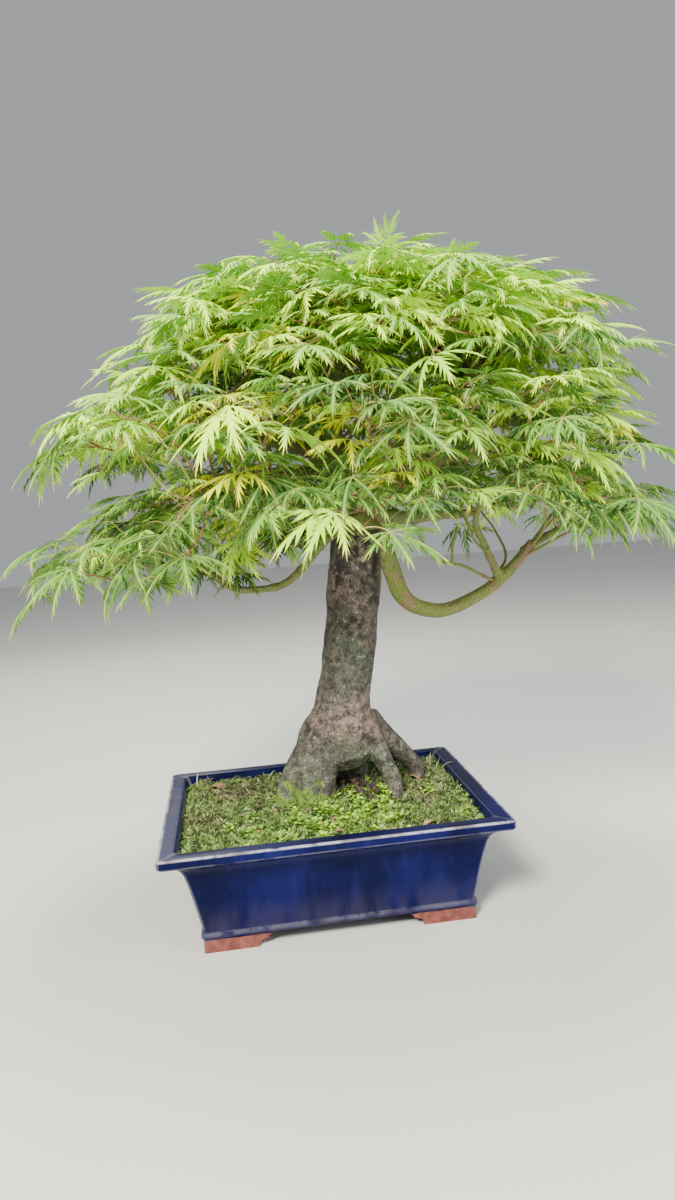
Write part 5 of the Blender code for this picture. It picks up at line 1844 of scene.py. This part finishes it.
def moss_half_size():
    """Half length and half depth of the moss."""
    inset = inner_inset(SOIL_EDGE_HEIGHT + MOSS_THICKNESS) + MOSS_CLEARANCE
    return POT_LENGTH / 2 - inset, POT_DEPTH / 2 - inset


def on_mat(x, y, margin):
    """Whether a place lies on the moss, a margin in from its sides."""
    half_x, half_y = moss_half_size()
    return abs(x) <= half_x - margin and abs(y) <= half_y - margin


def rounded_in(x, y, half_x, half_y):
    """A place drawn in to a rectangle's round corner if it lies outside it."""
    inner_x, inner_y = half_x - MOSS_CORNER, half_y - MOSS_CORNER
    over_x, over_y = abs(x) - inner_x, abs(y) - inner_y
    reach = math.hypot(over_x, over_y)
    if over_x <= 0 or over_y <= 0 or reach <= MOSS_CORNER:
        return x, y
    share = MOSS_CORNER / reach
    return math.copysign(inner_x + over_x * share, x), math.copysign(inner_y + over_y * share, y)


def grid_faces(columns, rows):
    """Faces of a grid of so many cells."""
    wide = columns + 1
    corners = [row * wide + column for row in range(rows) for column in range(columns)]
    return [(low, low + 1, low + 1 + wide, low + wide) for low in corners]


def grid_rim(columns, rows):
    """Numbers of the points round a grid of so many cells."""
    wide = columns + 1
    rim = list(range(columns))
    rim += [row * wide + columns for row in range(rows)]
    rim += [rows * wide + column for column in range(columns, 0, -1)]
    return rim + [row * wide for row in range(rows, 0, -1)]


def moss_sheet(growth):
    """Adds the cushioned mat as one closed body."""
    half_x, half_y = moss_half_size()
    columns, rows = round(2 * half_x / MOSS_CELL), round(2 * half_y / MOSS_CELL)
    draw = random.Random(SEEDS["mat"])
    points = []
    colours = []
    for row in range(rows + 1):
        for column in range(columns + 1):
            across, along = half_x * (2 * column / columns - 1), half_y * (2 * row / rows - 1)
            x, y = rounded_in(across, along, half_x, half_y)
            drop = MOSS_EDGE_DROP if row in (0, rows) or column in (0, columns) else 0
            points.append((x, y, moss_top(x, y) - drop + draw.uniform(-MOSS_FUZZ, MOSS_FUZZ)))
            colours.append(moss_colour(x, y, draw.random() * MAT_DRAW, MAT_SHADE_LIFT))
    faces = grid_faces(columns, rows)
    rim = grid_rim(columns, rows)
    start = len(points)
    for number in rim:
        x, y, _ = points[number]
        points.append((x, y, SOIL_EDGE_HEIGHT + mound(x, y) + GAP))
        colours.append(MAT_SIDE_SHADE_COLOUR)
    for step, number in enumerate(rim):
        after = (step + 1) % len(rim)
        faces.append((start + step, start + after, rim[after], number))
    faces.append(tuple(reversed(range(start, start + len(rim)))))
    growth.add(points, faces, np.array(colours))


def tuft_points(draw, foot):
    """Points of one leaning shoot of moss: its tip, its belt and its foot."""
    lean = Vector((draw.uniform(-TUFT_LEAN, TUFT_LEAN), draw.uniform(-TUFT_LEAN, TUFT_LEAN), 1)).normalized()
    tall = draw.uniform(*TUFT_HEIGHT) * draw.choice(TUFT_STRETCHES)
    girth = draw.uniform(*TUFT_GIRTH)
    across = lean.orthogonal().normalized()
    spin = draw.uniform(0, math.tau)
    belt = []
    for angle in around(TUFT_SIDES):
        turn = Matrix.Rotation(spin + angle, 3, lean)
        belt.append(foot + lean * tall * TUFT_BELT + turn @ across * girth)
    return [foot + lean * tall, *belt, foot]


def add_tufts(growth):
    """Adds small leaning shoots of moss all over the mat."""
    draw = random.Random(SEEDS["tufts"])
    half_x, half_y = moss_half_size()
    for _ in range(MOSS_TUFTS):
        x, y = draw.uniform(-half_x, half_x), draw.uniform(-half_y, half_y)
        x, y = rounded_in(x, y, half_x - TUFT_MARGIN, half_y - TUFT_MARGIN)
        points = tuft_points(draw, on_moss(x, y, -TUFT_SUNK))
        tint, dry, _, fresh = moss_colour(x, y, draw.random(), 1.0)
        growth.add(points, TUFT_FACES, np.array([(tint, dry, lift, fresh) for lift in TUFT_SHADE_LIFTS]))


def make_moss(look):
    """The moss mat with its tufts."""
    growth = Growth()
    moss_sheet(growth)
    add_tufts(growth)
    growth.piece("living_moss", look, "moss", "moss", ("moss",), 60)


def blade_shape(base, heading, climb, length, width, curl, cup, steps):
    """A small thin closed leaf or straw, with a rounded outline."""
    out = direction(heading, 0)
    wide = Vector((-out.y, out.x, 0))
    thick = Vector((0, 0, BLADE_HALF_THICKNESS))
    rings = []
    for step in range(steps + 1):
        share = step / steps
        slope = climb - curl * share
        rise = Vector((0, 0, length * share * math.sin(slope)))
        centre = base + out * length * share * math.cos(slope) + rise
        half = width * math.sin(math.pi * clamped(share, *BLADE_ENDS)) ** BLADE_BLUNTNESS
        edge = Vector((0, 0, cup * half))
        left, right = centre - wide * half + edge, centre + wide * half + edge
        rings.append([left, centre + thick, right, centre - thick])
    return loft(rings)


def round_leaf(base, heading, climb, width):
    """A small round leaf, slightly cupped, as a fan of triangles."""
    out = direction(heading, climb)
    wide = Vector((-math.sin(heading), math.cos(heading), 0))
    up = out.cross(wide)
    centre = base + out * width * ROUND_LEAF_REACH
    points = [centre - up * width * ROUND_LEAF_CUP]
    for angle in around(SEEDLING_SIDES):
        points.append(centre + (out * math.cos(angle) + wide * math.sin(angle)) * width / 2)
    faces = [(0, step + 1, (step + 1) % SEEDLING_SIDES + 1) for step in range(SEEDLING_SIDES)]
    return points, faces


def make_seedlings(look):
    """Clumps of small round-leaved plants among the moss, most before the hollow between the roots."""
    growth = Growth()
    draw = random.Random(SEEDS["seedlings"])
    for middle_x, middle_y, reach_x, reach_y, clumps in SEEDLING_GROUPS:
        for _ in range(clumps):
            add_clump(growth, draw, draw.gauss(middle_x, reach_x), draw.gauss(middle_y, reach_y))
    growth.piece("seedlings", look, "leaf", "moss", smooth=70)


def add_clump(growth, draw, clump_x, clump_y):
    """Adds a clump of seedlings, the tallest in its middle."""
    clump_tall = draw.uniform(*SEEDLING_CLUMP_HEIGHT)
    clump_tint = draw.uniform(*SEEDLING_CLUMP_TINT)
    for _ in range(SEEDLINGS_IN_CLUMP):
        x, y = draw.gauss(clump_x, SEEDLING_STRAY), draw.gauss(clump_y, SEEDLING_STRAY)
        if on_mat(x, y, SEEDLING_MARGIN):
            away = math.hypot(x - clump_x, y - clump_y)
            tall = clump_tall * max(LEAST_SEEDLING_SHARE, 1 - away * SEEDLING_SHRINK)
            add_seedling(growth, draw, on_moss(x, y, -STEM_SUNK), tall, clump_tint)


def add_seedling(growth, draw, foot, tall, tint):
    """Adds one stem with a few round leaves round its top."""
    lean_x, lean_y = (draw.uniform(-SEEDLING_LEAN, SEEDLING_LEAN) for _ in range(2))
    top = foot + Vector((lean_x, lean_y, 1)) * tall
    growth.add(*tube([foot, top], SEEDLING_STEM, STEM_SIDES), (0.0, 0, 0, 0))
    turn = draw.uniform(0, math.tau)
    for leaf in range(SEEDLING_LEAVES):
        heading = turn + leaf * SEEDLING_LEAF_TURN + draw.uniform(-SEEDLING_LEAF_STRAY, SEEDLING_LEAF_STRAY)
        base = foot.lerp(top, 1 - SEEDLING_LEAF_PITCH * leaf)
        climb, width = draw.uniform(*SEEDLING_LEAF_CLIMB), draw.uniform(*SEEDLING_LEAF_WIDTH)
        stray = draw.uniform(-SEEDLING_TINT_STRAY, SEEDLING_TINT_STRAY)
        leaf_tint = clamped(tint + stray - SEEDLING_TINT_FALL * leaf)
        growth.add(*round_leaf(base, heading, climb, width), (leaf_tint, 0, 0, 0))


def make_weeds(look):
    """Thin grassy weeds that stand over the moss at the pot's edges and at the roots."""
    growth = Growth()
    draw = random.Random(SEEDS["weeds"])
    for middle_x, middle_y, reach_x, reach_y, tallest, count in WEEDS:
        for _ in range(count):
            x, y = draw.gauss(middle_x, reach_x), draw.gauss(middle_y, reach_y)
            if on_mat(x, y, WEED_MARGIN):
                add_weed(growth, draw, on_moss(x, y, -STEM_SUNK), tallest)
    growth.piece("weeds", look, "leaf", "moss", smooth=60)


def add_weed(growth, draw, base, tallest):
    """Adds one thin blade."""
    length = tallest * draw.uniform(*WEED_HEIGHT_SHARE)
    climb = draw.uniform(*WEED_CLIMB)
    width = draw.uniform(*WEED_WIDTH)
    heading = draw.uniform(0, math.tau)
    shape = blade_shape(base, heading, climb, length, width, draw.uniform(*WEED_CURL), WEED_CUP, WEED_STEPS)
    growth.add(*shape, (draw.random(), 0, 0, 0))


def make_debris(look):
    """Dry bits of stalk and moss that lie all over the mat."""
    growth = Growth()
    draw = random.Random(SEEDS["dry_bits"])
    half_x, half_y = moss_half_size()
    for _ in range(DRY_BITS):
        x, y = draw.uniform(-half_x, half_x) * DRY_BIT_AREA, draw.uniform(-half_y, half_y) * DRY_BIT_AREA
        start = on_moss(x, y, draw.uniform(*DRY_BIT_LIFT))
        out = direction(draw.uniform(0, math.tau), draw.uniform(*DRY_BIT_CLIMB))
        out *= draw.uniform(*DRY_BIT_LENGTH)
        stray = Vector((draw.uniform(-1, 1), draw.uniform(-1, 1), 1)) * DRY_BIT_BEND
        girth = draw.uniform(*DRY_BIT_GIRTH)
        shape = tube([start, start + out * 0.5 + stray, start + out], [girth, girth, girth / 2], STEM_SIDES)
        growth.add(*shape, (draw.random(), 0, 0, 0))
    growth.piece("dry_bits", look, "leaf", "moss", smooth=70)


def make_litter(look):
    """Fallen brown leaves on the moss."""
    growth = Growth()
    draw = random.Random(SEEDS["litter"])
    for x, y, heading, length, width, tint in FALLEN:
        base = on_moss(x, y, FALLEN_LIFT)
        climb, cup = draw.uniform(*FALLEN_CLIMB), draw.uniform(*FALLEN_CUP)
        shape = blade_shape(base, heading, climb, length, width, FALLEN_CURL, cup, FALLEN_STEPS)
        growth.add(*shape, (tint, 0, 0, 0))
    growth.piece("fallen_leaves", look, "leaf", "moss", smooth=40)


def make_straws(look):
    """Grass blades and dead stalks at the pot's edges."""
    growth = Growth()
    first, pitch = STRAW_TINTS
    for number, (x, y, heading, climb, length, curl) in enumerate(STRAWS):
        base = on_moss(x, y, -STEM_SUNK)
        shape = blade_shape(base, heading, climb, length, STRAW_WIDTH, curl, STRAW_CUP, STRAW_STEPS)
        growth.add(*shape, (first + pitch * number, 0, 0, 0))
    growth.piece("grass_and_stalks", look, "leaf", "moss", smooth=60)


def crumb_shape(draw, centre, size):
    """A rough round crumb."""
    rings = []
    for level in range(CRUMB_RINGS):
        angle = math.pi * (level + 0.5) / CRUMB_RINGS
        level_reach = math.sin(angle)
        ring = []
        for turn in around(CRUMB_SIDES):
            out = Vector((math.cos(turn) * level_reach, math.sin(turn) * level_reach, -math.cos(angle)))
            ring.append(centre + out * size * draw.uniform(*CRUMB_ROUGHNESS))
        rings.append(ring)
    return loft(rings)


def make_crumbs(look):
    """Dark crumbs of soil in the hollow between the roots."""
    growth = Growth()
    draw = random.Random(SEEDS["crumbs"])
    for _ in range(CRUMBS):
        x, y = (draw.gauss(*spread) for spread in CRUMB_SPREAD)
        size = draw.uniform(*CRUMB_SIZE)
        shape = crumb_shape(draw, on_moss(x, y, draw.uniform(*CRUMB_LIFT)), size)
        growth.add(*shape, (draw.random(), 0, 0, 0))
    growth.piece("soil_crumbs", look, "leaf", "potting_soil", smooth=30)


def pot_ring(inset, height):
    """The pot's outline drawn in by the inset, with slightly wavering sides."""
    half_x = POT_LENGTH / 2 - inset
    half_y = POT_DEPTH / 2 - inset
    radius = max(LIP_CORNER_RADIUS - CORNER_SHRINK * inset, LEAST_CORNER_RADIUS)
    corners = []
    for turn, (side_x, side_y) in enumerate(((1, 1), (-1, 1), (-1, -1), (1, -1))):
        centre = Vector((side_x * (half_x - radius), side_y * (half_y - radius), height))
        arc = []
        for step in range(POT_CORNER_STEPS + 1):
            angle = math.radians(90 * (turn + step / POT_CORNER_STEPS))
            arc.append(centre + radius * Vector((math.cos(angle), math.sin(angle), 0)))
        corners.append(arc)
    ring = []
    for number, arc in enumerate(corners):
        after = corners[(number + 1) % 4][0]
        ring += arc
        ring += [arc[-1].lerp(after, step / POT_SIDE_STEPS) for step in range(1, POT_SIDE_STEPS)]
    return [waved(point) for point in ring]


def waved(point):
    """A point of the pot moved in or out a little, as on a pressed clay wall."""
    out = Vector((point.x, point.y, 0)).normalized()
    return point - out * WALL_WAVE * (1 + noise.noise(point * WALL_WAVES))


def foot_profile(length, top):
    """Outline of a foot's arm as (along, up), whose inner end rises in a curve and a step."""
    toe = length - FOOT_TOE
    curves = (
        (toe, FOOT_TOE_RADIUS, 0.0, FOOT_STEP_HEIGHT),
        (length, FOOT_STEP_RADIUS, FOOT_STEP_HEIGHT, FOOT_STEP_RADIUS),
    )
    profile = [(FOOT_CHAMFER, 0.0), (toe - FOOT_TOE_RADIUS, 0.0)]
    for reach, radius, low, rise in curves:
        for step in range(1, FOOT_CURVE_STEPS + 1):
            angle = math.radians(90 * step / FOOT_CURVE_STEPS)
            profile.append((reach - radius * math.cos(angle), low + rise * math.sin(angle)))
    return profile + [(length, top), (0.0, top), (0.0, FOOT_CHAMFER)]


def foot_arm(side_x, side_y, along_x):
    """One arm of a corner foot, along the pot's length or its depth."""
    inset = OUTER_PROFILE[1][0] + FOOT_INSET
    corner = Vector((side_x * (POT_LENGTH / 2 - inset), side_y * (POT_DEPTH / 2 - inset), 0))
    inward_x, inward_y = Vector((-side_x, 0, 0)), Vector((0, -side_y, 0))
    long_way, wide_way = (inward_x, inward_y) if along_x else (inward_y, inward_x)
    length = FOOT_LENGTHS[0] if along_x else FOOT_LENGTHS[1]
    offset = FOOT_ARM_OFFSET if along_x else 0.0
    profile = foot_profile(length, FOOT_HEIGHT + FOOT_SUNK - offset)
    rings = []
    for width in (offset, FOOT_WIDTH):
        ring = [corner + long_way * along + wide_way * width + Vector((0, 0, z)) for along, z in profile]
        rings.append(ring)
    if (side_x * side_y > 0) == along_x:
        rings = [list(reversed(ring)) for ring in rings]
    return loft(rings)


def drain_holes(low, high):
    """Upright cutters for the two drainage holes."""
    shapes = []
    for side in (-1, 1):
        centre = Vector((side * DRAIN_SPACING / 2, 0, 0))
        turns = around(DRAIN_SIDES)
        circle = [(DRAIN_RADIUS * math.cos(turn), DRAIN_RADIUS * math.sin(turn)) for turn in turns]
        shapes.append(loft([[centre + Vector((x, y, z)) for x, y in circle] for z in (low, high)]))
    return shapes


def glaze_wear_and_highlight(point):
    """How rubbed the glaze is at a point, with its painted highlight: most on the lip's edges, where the top
    edge's band is mostly a painted pale highlight line, then the corners and the plinth line.
    """
    out_x = POT_LENGTH / 2 - abs(point[0])
    out_y = POT_DEPTH / 2 - abs(point[1])
    for low, high, reach, wear_and_highlight in WEAR_AND_HIGHLIGHT_BANDS:
        if low < point[2] < high and min(out_x, out_y) < reach:
            return wear_and_highlight
    if abs(out_x - out_y) < CORNER_WEAR_REACH:
        return CORNER_WEAR
    low, high = PLINTH_WEAR_HEIGHTS
    return PLINTH_WEAR if low < point[2] < high else 0.0


def make_pot(look):
    """The glazed pot, its four bracket feet and its drainage holes."""
    rings = [pot_ring(inset, height) for inset, height in OUTER_PROFILE + INNER_PROFILE]
    arms = [foot_arm(x, y, along_x) for x in (-1, 1) for y in (-1, 1) for along_x in (True, False)]
    shape = combined(loft(rings), arms, "UNION")
    holes = drain_holes(FOOT_HEIGHT - CUT_MARGIN, POT_FLOOR_TOP + CUT_MARGIN)
    points, faces = combined(shape, holes, "DIFFERENCE")
    colours = [(glaze_wear_and_highlight(point), 0, 0, 1) for point in points]
    add_piece("glazed_pot", points, faces, look, ("pot",), POT_SMOOTH_ANGLE, ("wear_and_highlight", colours))


def dress_kept_nodes():
    """Materials for the soil and the drain screens, which keep their solid shapes."""
    soil = soil_look()
    plastic = screen_look()
    for name, look in (("soil", soil), ("drain_screen_left", plastic), ("drain_screen_right", plastic)):
        node = frame["nodes"][name]
        node.data.materials.clear()
        node.data.materials.append(look)


def make_stage():
    """Floor, even pale surroundings and soft lights."""
    corners = [(x * FLOOR_REACH, y * FLOOR_REACH, 0) for x, y in ((-1, -1), (1, -1), (1, 1), (-1, 1))]
    floor = helper("floor", (corners, [(0, 1, 2, 3)]))
    floor.data.materials.append(floor_look())
    world = bpy.data.worlds.new("studio")
    world.use_nodes = True
    surround = world.node_tree.nodes["Background"]
    surround.inputs["Color"].default_value = SURROUND_COLOUR
    surround.inputs["Strength"].default_value = SURROUND_STRENGTH
    bpy.context.scene.world = world
    for light in LIGHTS:
        add_light(*light)


def add_light(name, place, target, size, power, colour):
    """A soft square light aimed at a target."""
    lamp = bpy.data.lights.new(name, "AREA")
    lamp.size = size
    lamp.energy = power
    lamp.color = colour
    light = bpy.data.objects.new(name, lamp)
    light.location = place
    light.rotation_euler = (Vector(target) - Vector(place)).to_track_quat("-Z", "Y").to_euler()
    bpy.context.scene.collection.objects.link(light)


def make_camera():
    """The photograph's view: looking slightly down, turned and rolled as the pot's lip shows."""
    turn, drop, roll = (math.radians(angle) for angle in (CAMERA_TURN, CAMERA_DROP, CAMERA_ROLL))
    ahead = Vector((-math.sin(turn) * math.cos(drop), math.cos(turn) * math.cos(drop), -math.sin(drop)))
    level = ahead.cross(Vector((0, 0, 1))).normalized()
    up = level.cross(ahead)
    right = level * math.cos(roll) + up * math.sin(roll)
    above = up * math.cos(roll) - level * math.sin(roll)
    lens = bpy.data.cameras.new("camera")
    lens.lens = CAMERA_LENS
    lens.sensor_width = CAMERA_SENSOR
    lens.clip_end = CAMERA_RANGE
    camera = bpy.data.objects.new("camera", lens)
    camera.matrix_world = Matrix((right, above, -ahead)).transposed().to_4x4()
    camera.location = Vector(CAMERA_PLACE) + POT_MIDDLE
    bpy.context.scene.collection.objects.link(camera)
    bpy.context.scene.camera = camera


def build():
    """Makes the stage, then every piece of the tree and its pot."""
    make_camera()
    make_stage()
    dress_kept_nodes()
    make_pot(glaze_look())
    bark = bark_look()
    make_trunk(bark, wood_skeleton())
    make_branches(bark)
    make_moss(moss_look())
    make_seedlings(litter_look("seedling_green", *SEEDLING_GREEN))
    make_weeds(litter_look("weed_green", *WEED_GREEN))
    make_debris(litter_look("dry_stalk", *DRY_STALK))
    make_litter(litter_look("fallen_leaf", *FALLEN_LEAF))
    make_straws(litter_look("straw", *STRAW))
    make_crumbs(litter_look("dark_crumb", *DARK_CRUMB))
    make_foliage(leaf_look())


build()
